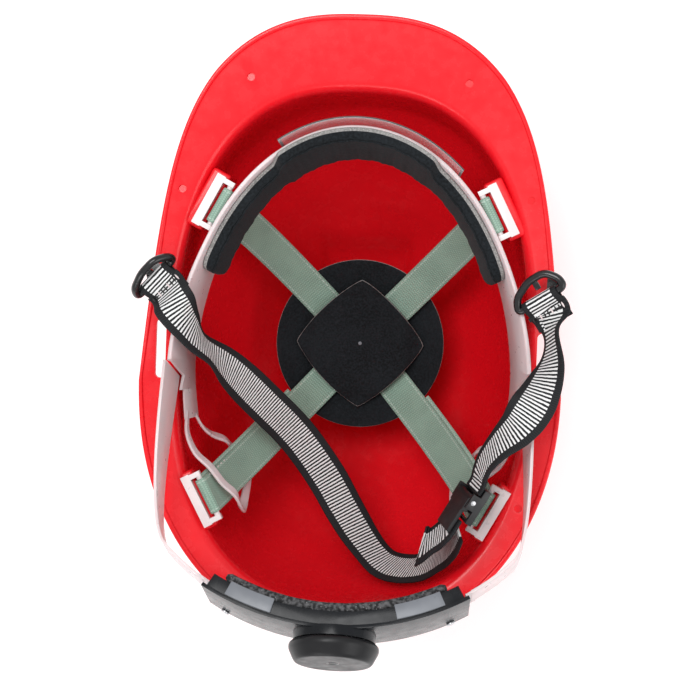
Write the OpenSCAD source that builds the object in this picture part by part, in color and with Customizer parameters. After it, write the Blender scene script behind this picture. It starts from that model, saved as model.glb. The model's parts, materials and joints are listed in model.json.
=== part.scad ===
// Safety helmet with a full peak, a four-point webbing cradle, a ratchet headband and a chin strap.
// It lies on its crown: +Z points out of the opening, the peak points to -Y, and the wearer's
// left is +X. Z = 0 is the flat on the crest that it rests on.

/* [Shell] */
// Half width of the dome's inside at the rim
dome_half_w = 90; // [89:0.5:91]
// Half length of the dome's inside at the rim
dome_half_l = 131; // [130:0.5:132]
// Height of the rim above the crest
rim_z = 145; // [144:0.5:146]
// Thickness of the shell wall
shell_t = 2.6; // [2.3:0.1:2.8]
// Half width of the brim
brim_half_w = 108; // [107:0.5:110]
// Reach of the peak in front of the centre
peak_reach = 169; // [160:1:175]
// Reach of the rear brim behind the centre
rear_reach = 149; // [147:0.5:150]
// Height of the crest over the dome
crest_h = 4.5; // [3:0.5:5]

/* [Accessory slots] */
// Length of each side slot
slot_l = 30.5; // [28:0.5:32]
// Width of each side slot
slot_w = 5; // [4.6:0.1:5.4]

/* [Cradle] */
// Width of the cradle webbing
cradle_w = 19; // [17:0.5:20]
// Thickness of the cradle webbing
cradle_t = 1.1; // [0.9:0.1:1.2]
// Radius of the crown pad
pad_r = 47.5; // [44:0.5:49]

/* [Headband] */
// Half width of the headband
band_half_w = 88; // [87:0.5:88.5]
// Thickness of the headband
band_t = 1.4; // [1.2:0.1:1.6]

/* [Nape adjuster] */
// Tilt of the nape housing
nape_tilt = 25; // [24:0.5:26]
// Diameter of the knob
knob_d = 44.6; // [40:0.2:46]
// Depth of the knob
knob_depth = 10; // [9:0.5:11]

/* [Chin strap] */
// Width of the chin strap webbing
chin_w = 22; // [20:0.5:22]
// Thickness of the chin strap webbing
chin_t = 1.3; // [1.1:0.1:1.4]

/* [Hidden] */

// ---- General functions ----
function power(v, e) = sign(v) * pow(abs(v), e);
function oval(b, rx, ry, n) = [rx * power(cos(b), 2 / n), ry * power(sin(b), 2 / n)];
function unit(v) = v / norm(v);
function mix(a, b, t) = a + (b - a) * t;
function ramp(t) = t <= 0 ? 0 : t >= 1 ? 1 : t * t * (3 - 2 * t);
function catmull(a, b, c, d, t) = 0.5 * (2 * b + (c - a) * t + (2 * a - 5 * b + 4 * c - d) * t * t
    + (3 * b - a - 3 * c + d) * t * t * t);
// Points on one smooth curve through the rows of a list, with steps points to each span
function smooth_rows(p, steps) = let (n = len(p))
    [for (i = [0:n - 2]) for (k = [0:steps - (i == n - 2 ? 0 : 1)])
        catmull(p[max(i - 1, 0)], p[i], p[i + 1], p[min(i + 2, n - 1)], k / steps)];
// Faces of a tube of rings, with cols points to a ring; both ends are capped
function tube_faces(rings, cols) = concat(
    [[for (j = [0:cols - 1]) j]],
    [for (i = [0:rings - 2]) for (j = [0:cols - 1]) let (k = (j + 1) % cols, a = i * cols, c = a + cols)
        each [[a + k, a + j, c + j], [a + k, c + j, c + k]]],
    [[for (j = [cols - 1:-1:0]) (rings - 1) * cols + j]]);

// A solid lofted through rings of points
module tube(rings) {
    polyhedron([for (ring = rings) each ring], tube_faces(len(rings), len(rings[0])), convexity = 8);
}

// Flat webbing along rows of [centre, across]
function web_ring(rows, i, w, t) = let (
    n = len(rows),
    dir = unit(rows[min(i + 1, n - 1)][0] - rows[max(i - 1, 0)][0]),
    up = unit(cross(rows[i][1], dir)),
    side = unit(cross(dir, up)) * w / 2,
    c = rows[i][0])
    [c + side - up * t / 2, c - side - up * t / 2, c - side + up * t / 2, c + side + up * t / 2];

module webbing(rows, w, t) {
    tube([for (i = [0:len(rows) - 1]) web_ring(rows, i, w, t)]);
}

// A round rod between two points
module rod(p, q, r) {
    d = q - p;
    translate(p)
        rotate([0, acos(d.z / norm(d)), atan2(d.y, d.x)])
            cylinder(h = norm(d), r = r, $fn = 24);
}

// ---- Shell ----
fillet_r = 6;
dome_n = 2.5;
dome_p = 2.3;
wall_top = rim_z - fillet_r;
crown_out = crest_h - 0.8;
crown_in = crown_out + shell_t;
brim_cy = 20;
brim_slope = 0.15;
rim_arch = 3;
around = 80;
dome_rows = 18;
fillet_rows = 3;

function dome_at(b, grow) = oval(b, dome_half_w + grow, dome_half_l + grow, dome_n);
function brim_at(b) = let (
    front = sin(b) < 0,
    reach = front ? peak_reach + brim_cy : rear_reach - brim_cy,
    p = oval(b, brim_half_w, reach, front ? 2.6 : 2.1),
    t = abs(p.y) / reach,
    waist = front && t < 0.84 ? 1 - 0.035 * sin(180 * t / 0.84) : 1)
    [p.x * waist, p.y + brim_cy];
// The crest runs along the crown and narrows to the rear
function crest_at(p) = crest_h * ramp((24 - p.y * 0.1 - abs(p.x)) / 7) * ramp((58 - abs(p.y + 6)) / 12);
// The rim rises a little towards the peak and the rear brim
function arch_at(p, z) = z + rim_arch * pow(p.y / rear_reach, 2) * z / rim_z;
function place(p, z) = [p.x, p.y, arch_at(p, z)];
function dome_pt(b, k, grow, low) = let (
    f = 90 * k / dome_rows,
    p = dome_at(b, grow) * pow(sin(f), 2 / dome_p),
    z = low + (wall_top - low) * (1 - pow(cos(f), 2 / dome_p)))
    place(p, z - crest_at(p));
function brim_z(w, r) = rim_z + brim_slope * max(0, w - r);
// One meridian of the shell, from the crown inside, over the rim, to the crown outside
function shell_line(b) = let (
    d = dome_at(b, 0),
    e = dome_at(b, shell_t),
    o = brim_at(b),
    w = norm(o - d),
    out = (o - d) / w,
    lip = brim_z(w, fillet_r),
    r = fillet_r - shell_t)
    concat(
        [for (k = [1:dome_rows]) dome_pt(b, k, 0, crown_in)],
        [for (k = [1:fillet_rows]) let (f = 90 * k / fillet_rows)
            place(d + out * fillet_r * (1 - cos(f)), wall_top + fillet_r * sin(f))],
        [place(o - out * 3, lip - 0.4), place(o - out * 2.4, lip + 0.5), place(o - out * 0.4, lip + 0.5)],
        [place(o, lip - 0.4), place(o, lip - shell_t - 0.4), place(o - out * 1.2, lip - shell_t - 0.6)],
        [for (k = [fillet_rows:-1:1]) let (f = 90 * k / fillet_rows)
            place(e + out * r * (1 - cos(f)), wall_top + r * sin(f))],
        [for (k = [dome_rows:-1:1]) dome_pt(b, k, shell_t, crown_out)]);

module shell_skin() {
    lines = [for (i = [0:around - 1]) shell_line(360 * i / around)];
    m = len(lines[0]);
    pts = concat([for (l = lines) each l], [[0, 0, crown_in - crest_h], [0, 0, crown_out - crest_h]]);
    a0 = around * m;
    faces = [for (i = [0:around - 1]) let (p = i * m, q = ((i + 1) % around) * m) each concat(
        [[a0, q, p], [a0 + 1, p + m - 1, q + m - 1]],
        [for (j = [0:m - 2]) each [[p + j, q + j, q + j + 1], [p + j, q + j + 1, p + j + 1]]])];
    polyhedron(pts, faces, convexity = 12);
}

// Clips of the cradle: place on the rim and the direction that each one faces
clip_front = [75, -74];
clip_rear = [76, 81];
clip_front_turn = -27.4;
clip_rear_turn = 28.5;
socket_l = 32;
socket_depth = 25;
socket_gap = 2.8;

// Places its children at a clip: X runs out of the helmet, Y along the rim
module at_clip(rear, side) {
    c = rear ? clip_rear : clip_front;
    mirror([side < 0 ? 1 : 0, 0, 0])
        translate([c.x, c.y, rim_z])
            rotate([0, 0, rear ? clip_rear_turn : clip_front_turn])
                children();
}

module clip_socket(rear, side) {
    back = rear ? 3.4 : 6.4;
    at_clip(rear, side)
        translate([-4, -socket_l / 2, -socket_depth - 2])
            cube([4 + back, socket_l, socket_depth + 1.2]);
}

module clip_pocket(rear, side) {
    at_clip(rear, side) {
        translate([-socket_gap / 2, -11.6, -socket_depth + 1])
            cube([socket_gap, 23.2, socket_depth + 10]);
        translate([-9, -14.5, -0.8]) cube([11.7, 29, 9]);
    }
}

module side_slot(side) {
    translate([side * 97.5, 3, rim_z]) {
        translate([-slot_w / 2, -slot_l / 2 + slot_w / 2, -18])
            cube([slot_w, slot_l - slot_w, 36]);
        for (end = [-1, 1])
            translate([0, end * (slot_l - slot_w) / 2, -18])
                cylinder(h = 36, d = slot_w, $fn = 24);
    }
}

module shell() {
    color([0.86, 0.06, 0.09])
        difference() {
            union() {
                shell_skin();
                for (rear = [false, true]) for (side = [-1, 1]) clip_socket(rear, side);
            }
            for (rear = [false, true]) for (side = [-1, 1]) clip_pocket(rear, side);
            for (side = [-1, 1]) side_slot(side);
            translate([-60, -90, -10]) cube([120, 180, 10]);
        }
}

// ---- Cradle clips ----
bar_x = -6.5;
bar_z = 1.2;
bar_r = 1.5;

module cradle_clip(rear, side) {
    color([0.93, 0.88, 0.88])
        at_clip(rear, side) {
            translate([-1.1, -11, -22]) cube([2.2, 22, 22]);
            translate([-2.2, -14.2, -0.7]) cube([4.6, 28.4, 4]);
            for (end = [-1, 1])
                translate([-8, end * 12.4 - 1.3, -0.7]) cube([6.4, 2.6, 4]);
            translate([bar_x, -12.4, bar_z]) rotate([-90, 0, 0]) cylinder(h = 24.8, r = bar_r, $fn = 24);
        }
}

// ---- Cradle webbing ----
pad_z = 47;
pad_round = 92;
strap_step = 2.1;
wrap_r = bar_r + cradle_t / 2 + 0.15;

// Rows of one leg, from its clip bar to the crown
function clip_vec(rear, side, v) = let (
    a = rear ? clip_rear_turn : clip_front_turn)
    [side * (v.x * cos(a) - v.y * sin(a)), v.x * sin(a) + v.y * cos(a), v.z];
function clip_pt(rear, side, v) = let (c = rear ? clip_rear : clip_front)
    [side * c.x, c.y, rim_z] + clip_vec(rear, side, v);
function leg_rows(rear, side, z0) = let (
    bar = clip_pt(rear, side, [bar_x, 0, bar_z]),
    out = clip_vec(rear, side, [1, 0, 0]),
    along = clip_vec(rear, side, [0, 1, 0]) * (rear ? -side : side),
    foot = bar - out * wrap_r,
    e = norm([foot.x, foot.y]),
    rise = bar.z - z0,
    // The leg is an ellipse with radius pad_round at the crown that passes through its clip bar
    u = (2 * rise * pad_round - e * e) / pow(rise * pad_round, 2),
    half = 1 / sqrt(u),
    tall = half * half / pad_round,
    top = asin(e / half),
    dir = [foot.x, foot.y, 0] / e,
    flat = cross([0, 0, 1], dir) * (rear ? -1 : 1))
    concat(
        [for (f = [180:-30:30]) [bar - out * wrap_r * cos(f) + [0, 0, wrap_r * sin(f)], along]],
        [for (k = [9:-1:1]) let (f = top * k / 9)
            [dir * half * sin(f) + [0, 0, z0 + tall * (1 - cos(f))], unit(mix(flat, along, ramp(k / 9)))]]);
function reversed(rows) = [for (i = [len(rows) - 1:-1:0]) rows[i]];
function strap_rows(side, z0) = let (
    front = leg_rows(false, side, z0),
    rear = reversed(leg_rows(true, -side, z0)))
    concat(front, [[[0, 0, z0], unit(front[len(front) - 1][1] + rear[0][1])]], rear);

module cradle_strap_a() {
    color([0.50, 0.63, 0.55]) webbing(strap_rows(1, pad_z), cradle_w, cradle_t);
}

module cradle_strap_b() {
    color([0.50, 0.63, 0.55]) webbing(strap_rows(-1, pad_z + strap_step), cradle_w, cradle_t);
}

// ---- Crown pad ----
lobe_top = pad_z - 1.7;
bridge_low = pad_z + 4;
pad_centre = pad_z + pad_round;

// A dished layer of the pad, between two heights at its centre
module dish(low, high, r) {
    intersection() {
        translate([0, 0, pad_centre])
            difference() {
                sphere(r = pad_centre - low, $fn = 72);
                sphere(r = pad_centre - high, $fn = 72);
            }
        translate([0, 0, low - 2]) cylinder(h = 30, r = r, $fn = 72);
    }
}

module bridge_outline() {
    intersection() {
        rotate([0, 0, 45]) translate([-25.5, -25.5, 0]) cube([51, 51, 100]);
        cylinder(h = 100, r = 34, $fn = 72);
    }
}

module crown_pad_foam() {
    color([0.62, 0.61, 0.60]) {
        dish(lobe_top - 3.6, lobe_top - 0.8, pad_r);
        intersection() {
            dish(bridge_low, bridge_low + 2.4, pad_r - 2);
            bridge_outline();
        }
        for (turn = [0:90:270])
            rotate([0, 0, turn]) translate([27, -4, lobe_top + 2.6]) cube([5, 8, 7.6]);
    }
}

module crown_pad_cover() {
    color([0.11, 0.12, 0.13]) {
        difference() {
            dish(lobe_top - 0.8, lobe_top, pad_r);
            for (turn = [0:90:270])
                rotate([0, 0, turn]) translate([27, -4, lobe_top - 4]) cube([5, 8, 16]);
        }
        intersection() {
            dish(bridge_low + 2.4, bridge_low + 3.2, pad_r - 2);
            bridge_outline();
        }
    }
}

// ---- Headband ----
band_cy = 20;
band_reach = 131;
band_low = 122;
band_high = 150;
band_splay = 0.2;
nape_pos = [0, 135.5, 180];
nape_r = 125;
hinge_x = 91;
arm_low = 13;
arm_high = 35;
arm_gap = 0.7;

// Plan position of the band's middle surface, moved outwards by off; the band splays open upwards
function band_at(b, off, z) = let (lean = off + (z - band_high + 7) * band_splay)
    oval(b, band_half_w + lean, band_reach + lean, 2) + [0, band_cy];
function band_ring(b, inner, outer, low, high) = [
    for (c = [[outer, high], [inner, high], [inner, low], [outer, low]])
        let (p = band_at(b, c[0], c[1])) [p.x, p.y, c[1]]];

module band_arc(from, to, step, inner, outer, low, high) {
    tube([for (b = [from:step:to]) band_ring(b, inner, outer, low, high)]);
}

module nape_frame() {
    translate(nape_pos) rotate([nape_tilt, 0, 0]) children();
}

// Loop that hangs from the band and guides the rear leg of the cradle: rows of
// [x, y, z, across x, across y, across z], over the leg near its clip and under it farther down
guide_w = 5.5;
guide_t = 1.6;
guide_route = [
    [85.0, 36, 131, 0, 0, 1],
    [84.1, 47, 133, 0.1, 0.1, 1],
    [79, 57, 135, 0.2, 0.2, 0.95],
    [70.6, 64.2, 136.4, 0.25, 0.28, 0.93],
    [64.2, 72.2, 135, 0.25, 0.28, 0.93],
    [57.8, 78.5, 131.6, 0, 0.5, 0.86],
    [55.8, 86.5, 123.5, -0.6, 0.65, 0.45],
    [56.2, 87.5, 113, -0.74, 0.67, 0],
    [56, 81.5, 104, -0.6, 0.5, -0.6],
    [55.6, 73.9, 97.2, -0.3, 0, -0.93],
    [57.4, 64.6, 93.8, -0.2, -0.25, -0.93],
    [65.6, 57.7, 94, 0.2, -0.5, -0.83],
    [69, 53, 100, 0.5, -0.6, -0.6],
    [75, 50, 107, 0.6, -0.6, -0.5],
    [79.5, 45, 114.5, 0.5, -0.5, -0.7],
    [82.6, 38, 120, 0.1, -0.1, -1]];

// The band's upper edge rises towards the arms, and its lower edge drops to the guide
function edge_high(b) = band_high + 7 * ramp((band_reach * sin(b) + 75) / 60);
finger_t = 0.6;
function finger_low(b) = band_low + 0.3 - 6 * ramp((b + 8) / 20);
function finger_high(b) = 137 - 2 * ramp((b + 6) / 18);
function band_rows(from, to, step) = [for (b = [from:step:to])
    band_ring(b, -band_t / 2, band_t / 2, band_low, edge_high(b))];

module strap_guide(side) {
    lift = side > 0 ? strap_step * 0.8 : 0;
    mirror([side < 0 ? 1 : 0, 0, 0]) {
        tube([for (b = [9:-2:-11]) band_ring(b, -finger_t, finger_t, finger_low(b), finger_high(b))]);
        webbing([for (p = smooth_rows(guide_route, 2))
            [[p[0], p[1], p[2] + lift * ramp((p[1] - 38) / 12)], unit([p[3], p[4], p[5]])]], guide_w, guide_t);
    }
}

module headband() {
    color([0.95, 0.82, 0.83, 0.75]) {
        difference() {
            tube(band_rows(2, -182, -4));
            for (side = [-1, 1])
                nape_frame()
                    translate([side * hinge_x - 14, -nape_r - arm_gap, arm_low - 2]) cube([28, 40, 50]);
        }
        for (side = [-1, 1]) strap_guide(side);
    }
}

// ---- Rear arms with the racks ----
rack_gap = 5.3;
rack_h = 7;
rack_low = -0.5;
rack_t = 1;
rack_tip = -5;
arm_meet = 32;
tooth_pitch = 2.9;

// Middle line of an arm in the nape frame: an arc that slides in the housing, then a sweep to the hinge
arc_end = 44;
arc_share = 0.22;
function on_arc(a) = [nape_r * sin(a), nape_r * (cos(a) - 1)];
function arm_mid(t) = let (
    p = on_arc(arc_end),
    q = p + 12 * [cos(arc_end), -sin(arc_end)],
    s = [hinge_x, -nape_r + arm_gap],
    r = s + [0.4, 34],
    u = (t - arc_share) / (1 - arc_share))
    t < arc_share ? on_arc(mix(arm_meet, arc_end, t / arc_share)) :
        p * pow(1 - u, 3) + q * 3 * u * pow(1 - u, 2) + r * 3 * u * u * (1 - u) + s * u * u * u;
function arm_ring(t, slack) = let (
    p = arm_mid(t),
    d = unit(arm_mid(min(t + 0.02, 1)) - arm_mid(max(t - 0.02, 0))),
    n = [-d.y, d.x] * band_t / 2,
    mid = mix(0, (arm_low + arm_high) / 2, ramp(t)),
    half = mix(9.5, (arm_high - arm_low) / 2, t) - slack,
    lean = band_splay * ramp((t - 0.3) / 0.7) * 0.9)
    [for (c = [[1, half], [-1, half], [-1, -half], [1, -half]])
        [p.x + n.x * c[0] + c[1] * lean, p.y + n.y * c[0], mid + c[1]]];

// Part of a ring about the nape's centre of curvature, between two radii, heights and angles
module nape_sector(r1, r2, low, high, from, to) {
    translate([0, -nape_r, 0])
        rotate([0, 0, 90 - to])
            rotate_extrude(angle = to - from, $fn = 96)
                translate([r1, low]) square([r2 - r1, high - low]);
}

// A strip of the rack's arc, in short flats, between two heights and angles
module rack_strip(low, high, from, to, flats) {
    tube([for (k = [0:flats]) let (a = mix(from, to, k / flats), r = nape_r + rack_low)
        [for (c = [[rack_t, high], [0, high], [0, low], [rack_t, low]])
            [(r + c[0]) * sin(a), (r + c[0]) * cos(a) - nape_r, c[1]]]]);
}

module rack(sign_z) {
    low = sign_z > 0 ? rack_gap : -rack_gap - rack_h;
    difference() {
        rack_strip(low, low + rack_h, rack_tip, arm_meet + 1.2, 19);
        for (k = [0:17])
            translate([0, -nape_r, 0])
                rotate([0, 0, -(rack_tip + 1.1 + k * tooth_pitch / nape_r * 57.3)])
                    translate([-0.75, nape_r - 4, sign_z * rack_gap - 1.2]) cube([1.5, 8, 2.4]);
    }
}

module arm(side) {
    mirror([side < 0 ? 1 : 0, 0, 0])
        nape_frame() {
            tube([for (k = [0:22]) arm_ring(k / 22, 0)]);
            rack(side);
            rack_strip(side > 0 ? -9.3 : -rack_gap - 1.3, side > 0 ? rack_gap + 1.3 : 9.3,
                arm_meet - 1.5, arm_meet + 0.6, 2);
        }
}

module arm_left() {
    color([0.95, 0.82, 0.83, 0.75]) arm(1);
}

module arm_right() {
    color([0.95, 0.82, 0.83, 0.75]) arm(-1);
}

// ---- Brow pad ----
brow_from = -27;
brow_to = -153;
function brow_high(b) = 147 + 9 * ramp((30 - abs(b + 90)) / 4);
function brow_low(b) = 126 - 4 * ramp((30 - abs(b + 90)) / 4);

module brow_layer(inner, outer, trim) {
    tube([for (b = [brow_from:-3:brow_to])
        band_ring(b, inner, outer, brow_low(b) + trim, brow_high(b) - trim)]);
}

module brow_pad_foam() {
    color([0.66, 0.65, 0.64]) brow_layer(-7.4, -0.9, 0);
}

module brow_pad_cover() {
    color([0.10, 0.10, 0.11]) brow_layer(-8.4, -7.5, 0.5);
}

// ---- Information label and its border ----
label_gap = 3.4;

module info_label() {
    color([0.9, 0.9, 0.92, 0.4]) band_arc(-65, -125, -3, label_gap, label_gap + 0.4, 131, 155);
}

module label_frame() {
    color([0.08, 0.08, 0.09]) {
        band_arc(-65, -125, -3, label_gap + 0.5, label_gap + 1.1, 152, 156);
        band_arc(-65, -125, -3, label_gap + 0.5, label_gap + 1.1, 130, 134);
        band_arc(-65.5, -68, -2.5, label_gap + 0.6, label_gap + 1, 133, 153);
        band_arc(-122, -124.5, -2.5, label_gap + 0.6, label_gap + 1, 133, 153);
    }
}

// ---- Nape housing ----
half_arc = 29.5;
half_h = 17.5;
wall = 1.4;
cavity_in = nape_r - 2.6;
cavity_out = nape_r + 2.6;
cover_t = 1.8;
boss_r = 20.4;
boss_y = 7.6;
neck_r = 8;
post_z = 14.5;
stub_r = 3;
fit_gap = 0.07;

// A disc or bore along the knob's axis, from one depth to another
module along_knob(from, to, r) {
    translate([0, from, 0]) rotate([-90, 0, 0]) cylinder(h = to - from, r = r, $fn = 64);
}

module nape_housing() {
    color([0.07, 0.07, 0.08])
        nape_frame()
            difference() {
                union() {
                    nape_sector(cavity_in - wall, cavity_in, -half_h, half_h, -half_arc, half_arc);
                    for (low = [-half_h, half_h - wall])
                        nape_sector(cavity_in - wall, cavity_out, low, low + wall, -half_arc, half_arc);
                    for (turn = [-26, 26])
                        translate([0, -nape_r, 0]) rotate([0, 0, turn])
                            translate([0, cavity_in - 0.5, -post_z]) rotate([-90, 0, 0])
                                cylinder(h = 5.7, r = 1.7, $fn = 24);
                }
                along_knob(-6, 0, stub_r + fit_gap);
                for (turn = [-26, 26])
                    translate([0, -nape_r, 0]) rotate([0, 0, turn])
                        translate([0, cavity_in + 1, -post_z]) rotate([-90, 0, 0])
                            cylinder(h = 6, r = 1, $fn = 24);
            }
}

module nape_cover() {
    color([0.10, 0.10, 0.11])
        nape_frame()
            difference() {
                union() {
                    nape_sector(cavity_out, cavity_out + cover_t, -half_h - 0.6, half_h + 0.6, -half_arc - 1,
                        half_arc + 1);
                    along_knob(2.7, boss_y, boss_r);
                }
                along_knob(-1, 12, neck_r + fit_gap);
                along_knob(4.6, 12, 18.6);
                for (turn = [-26, 26])
                    translate([0, -nape_r, 0]) rotate([0, 0, turn])
                        translate([0, cavity_out - 1, -post_z]) rotate([-90, 0, 0])
                            cylinder(h = 6, r = 1.3, $fn = 24);
            }
}

module nape_foam_pad() {
    color([0.25, 0.25, 0.26])
        nape_frame() nape_sector(cavity_in - wall - 5, cavity_in - wall - 0.03, -16, 16, -27, 27);
}

module housing_screws() {
    color([0.6, 0.6, 0.62])
        nape_frame()
            for (turn = [-26, 26])
                translate([0, -nape_r, 0]) rotate([0, 0, turn])
                    translate([0, 0, -post_z]) rotate([-90, 0, 0]) {
                        translate([0, 0, cavity_out + cover_t]) cylinder(h = 1.2, r = 2.2, $fn = 24);
                        translate([0, 0, cavity_in + 1.4]) cylinder(h = 5.7, r = 0.95, $fn = 24);
                    }
}

module keeper(side) {
    color([0.30, 0.30, 0.32])
        nape_frame()
            mirror([side < 0 ? 1 : 0, 0, 0]) {
                nape_sector(cavity_in + 0.4, cavity_out - 0.3, half_h, half_h + 1.2, 14, 25);
                nape_sector(cavity_in - wall - 1, cavity_in - wall, 16.1, half_h + 1.2, 14, 25);
                nape_sector(cavity_in - wall - 1, cavity_in + 1, half_h, half_h + 1.2, 14, 25);
            }
}

module keeper_left() {
    keeper(1);
}

module keeper_right() {
    keeper(-1);
}

// ---- Ratchet and knob ----
detent_n = 24;
knob_y = boss_y + 0.5;
knob_r = knob_d / 2;

module detent_ring() {
    color([0.85, 0.85, 0.86])
        nape_frame()
            difference() {
                along_knob(4.6, 7.2, 18.6);
                along_knob(4, 8, 15.6);
                for (k = [0:detent_n - 1])
                    rotate([0, k * 360 / detent_n, 0]) translate([15, 4, -0.8]) cube([1.8, 4, 1.6]);
            }
}

module pinion_shaft() {
    color([0.90, 0.90, 0.88])
        nape_frame() {
            along_knob(-3.8, -2, stub_r);
            along_knob(-2, 2.2, 3.8);
            for (k = [0:9])
                rotate([0, k * 36, 0]) translate([3, -2, -0.6]) cube([1.9, 4.2, 1.2]);
            along_knob(2.2, 4.8, neck_r);
            along_knob(4.8, 13, 5);
        }
}

module ratchet_spring() {
    color([0.80, 0.80, 0.82])
        nape_frame() {
            difference() {
                along_knob(5.1, 7.1, 9);
                along_knob(4.9, 7.3, 5);
            }
            for (turn = [0, 180])
                rotate([0, turn, 0]) {
                    translate([6, 5.1, -1.2]) cube([7, 2, 1.2]);
                    translate([12, 5.1, -1.2]) cube([1.2, 2, 6]);
                    translate([12, 5.1, 4]) cube([2.4, 2, 1.2]);
                }
        }
}

module knob() {
    color([0.09, 0.09, 0.10])
        nape_frame()
            difference() {
                translate([0, knob_y, 0]) rotate([-90, 0, 0])
                    rotate_extrude($fn = 96)
                        polygon([[0, 0], [knob_r - 1.4, 0], [knob_r, 1.4], [knob_r, 3.6],
                            [knob_r - 2.6, knob_depth - 1], [knob_r - 3.6, knob_depth], [0, knob_depth]]);
                along_knob(7, 13, 5);
                along_knob(12, 17.4, 1.5);
                along_knob(16.4, 20, 2.6);
            }
}

module knob_screw() {
    color([0.5, 0.5, 0.52])
        nape_frame() {
            along_knob(16.4, 17.2, 2.4);
            along_knob(13, 16.4, 1.5);
        }
}

// ---- Chin strap fittings ----
ring_bar_r = 1.8;
ring_r = 2;
loop_gap = 0.08;
loop_out = ring_bar_r + loop_gap + chin_t;
hook_right = [-95, -29.5, 161];
hook_left = [99, -33, 158];
hook_right_turn = [0, 20, 33.7];
hook_left_turn = [-60, 9, 47];
ring_pts = [[-13.6, 0, 0], [-13.6, -5, 0], [-8.5, -11, 0], [1, -11, 0], [10.5, -6.5, 0], [13.6, 0, 0]];
loop_l = 19;

module hook_frame(side) {
    turn = side > 0 ? hook_left_turn : hook_right_turn;
    translate(side > 0 ? hook_left : hook_right)
        rotate([0, 0, turn.z]) rotate([0, turn.y, 0]) children();
}

// The ring: a bar for the strap and a bent rod with a tooth that hooks on the lug
module chin_ring(side) {
    color([0.13, 0.13, 0.14])
        hook_frame(side)
            rotate([side > 0 ? hook_left_turn.x : hook_right_turn.x, 0, 0]) {
                rod(ring_pts[0], ring_pts[5], ring_bar_r);
                for (k = [0:4]) rod(ring_pts[k], ring_pts[k + 1], ring_r);
                for (p = ring_pts) translate(p) sphere(r = ring_r + 0.15, $fn = 24);
                translate([-3.4, -9.6, -0.9]) cube([3, 4.5, 1.8]);
            }
}

module chin_ring_left() {
    chin_ring(1);
}

module chin_ring_right() {
    chin_ring(-1);
}

// The end of the strap, sewn in a loop around the ring's bar
module chin_loop(side) {
    color([0.12, 0.12, 0.13])
        hook_frame(side)
            translate([-loop_l / 2, 0, 0])
                rotate([0, 90, 0])
                    difference() {
                        cylinder(h = loop_l, r = loop_out, $fn = 32);
                        translate([0, 0, -1]) cylinder(h = loop_l + 2, r = ring_bar_r + loop_gap, $fn = 32);
                    }
}

module chin_loop_left() {
    chin_loop(1);
}

module chin_loop_right() {
    chin_loop(-1);
}

// A leaf-shaped lug that grips the lip of the brim and keeps the ring
lug_b = -12;

module chin_anchor(side) {
    p = brim_at(lug_b);
    mirror([side < 0 ? 1 : 0, 0, 0])
        translate([p.x, p.y, rim_z]) {
            translate([0.7, -4, -4.4]) cube([1.4, 8, 8.6]);
            translate([-4.6, -4, -4.4]) cube([6, 8, 1.2]);
            translate([-4.4, -4, 3]) cube([6, 8, 1.2]);
            translate([0.7, 0, 4]) rotate([0, 90, 0]) cylinder(h = 1.4, r = 4, $fn = 32);
        }
}

module chin_anchor_left() {
    color([0.12, 0.12, 0.13]) chin_anchor(1);
}

module chin_anchor_right() {
    color([0.12, 0.12, 0.13]) chin_anchor(-1);
}

// ---- Chin strap webbing: rows of [x, y, z, across x, across y, across z] ----
long_route = [
    [88, -20, 163, 0.66, 0.68, 0.20],
    [81, -9, 158, 0.40, 0.40, 0.80],
    [74, 2, 146, 0.12, 0.12, 0.98],
    [62, 15, 128, 0.50, 0.42, 0.76],
    [48, 31, 108, 0.74, 0.52, 0.42],
    [31, 50, 91, 0.80, 0.56, 0.20],
    [15, 72, 84, 0.84, 0.52, 0.16],
    [3, 91, 86, 0.76, 0.52, 0.38],
    [-8, 106, 92, 0.55, 0.52, 0.66],
    [-19, 116, 100, 0.28, 0.50, 0.82],
    [-31, 117, 112, 0.00, 0.40, 0.91],
    [-42, 112.5, 124, -0.16, 0.26, 0.95],
    [-50, 104, 136, -0.22, 0.20, 0.95],
    [-55, 95.5, 149, -0.26, 0.17, 0.95],
    [-57.5, 87.8, 158.6, -0.27, 0.16, 0.95]];
short_route = [
    [-100.6, -14, 163, 0.28, 0.10, -0.95],
    [-101, -3, 166, 0.34, 0.00, -0.94],
    [-99, 7, 170, 0.62, -0.14, -0.77],
    [-95.7, 16, 173, 0.82, -0.26, -0.50],
    [-91.5, 24, 175, 0.88, -0.44, -0.14],
    [-85.5, 33, 175, 0.66, -0.50, -0.56],
    [-77, 42, 172, 0.40, -0.36, -0.84],
    [-71.5, 50, 167, 0.30, -0.20, -0.93],
    [-68.6, 57.5, 163, 0.27, -0.16, -0.95]];
tail_route = [
    [-48, 92, 158, -0.30, 0.14, 0.94],
    [-42.5, 97, 154.5, -0.36, 0.16, 0.92],
    [-40.5, 98, 152, -0.40, 0.20, 0.89]];
web_steps = 3;
buckle_pos = [-62.9, 74.9, 161.5];
buckle_turn = 240;
buckle_roll = -72;
buckle_w = 25;
pin_r = 1.3;
function buckle_vec(v) = let (y = v.y * cos(buckle_roll) - v.z * sin(buckle_roll))
    [v.x * cos(buckle_turn) - y * sin(buckle_turn), v.x * sin(buckle_turn) + y * cos(buckle_turn),
        v.y * sin(buckle_roll) + v.z * cos(buckle_roll)];
function buckle_pt(v) = buckle_pos + buckle_vec(v);

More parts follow.
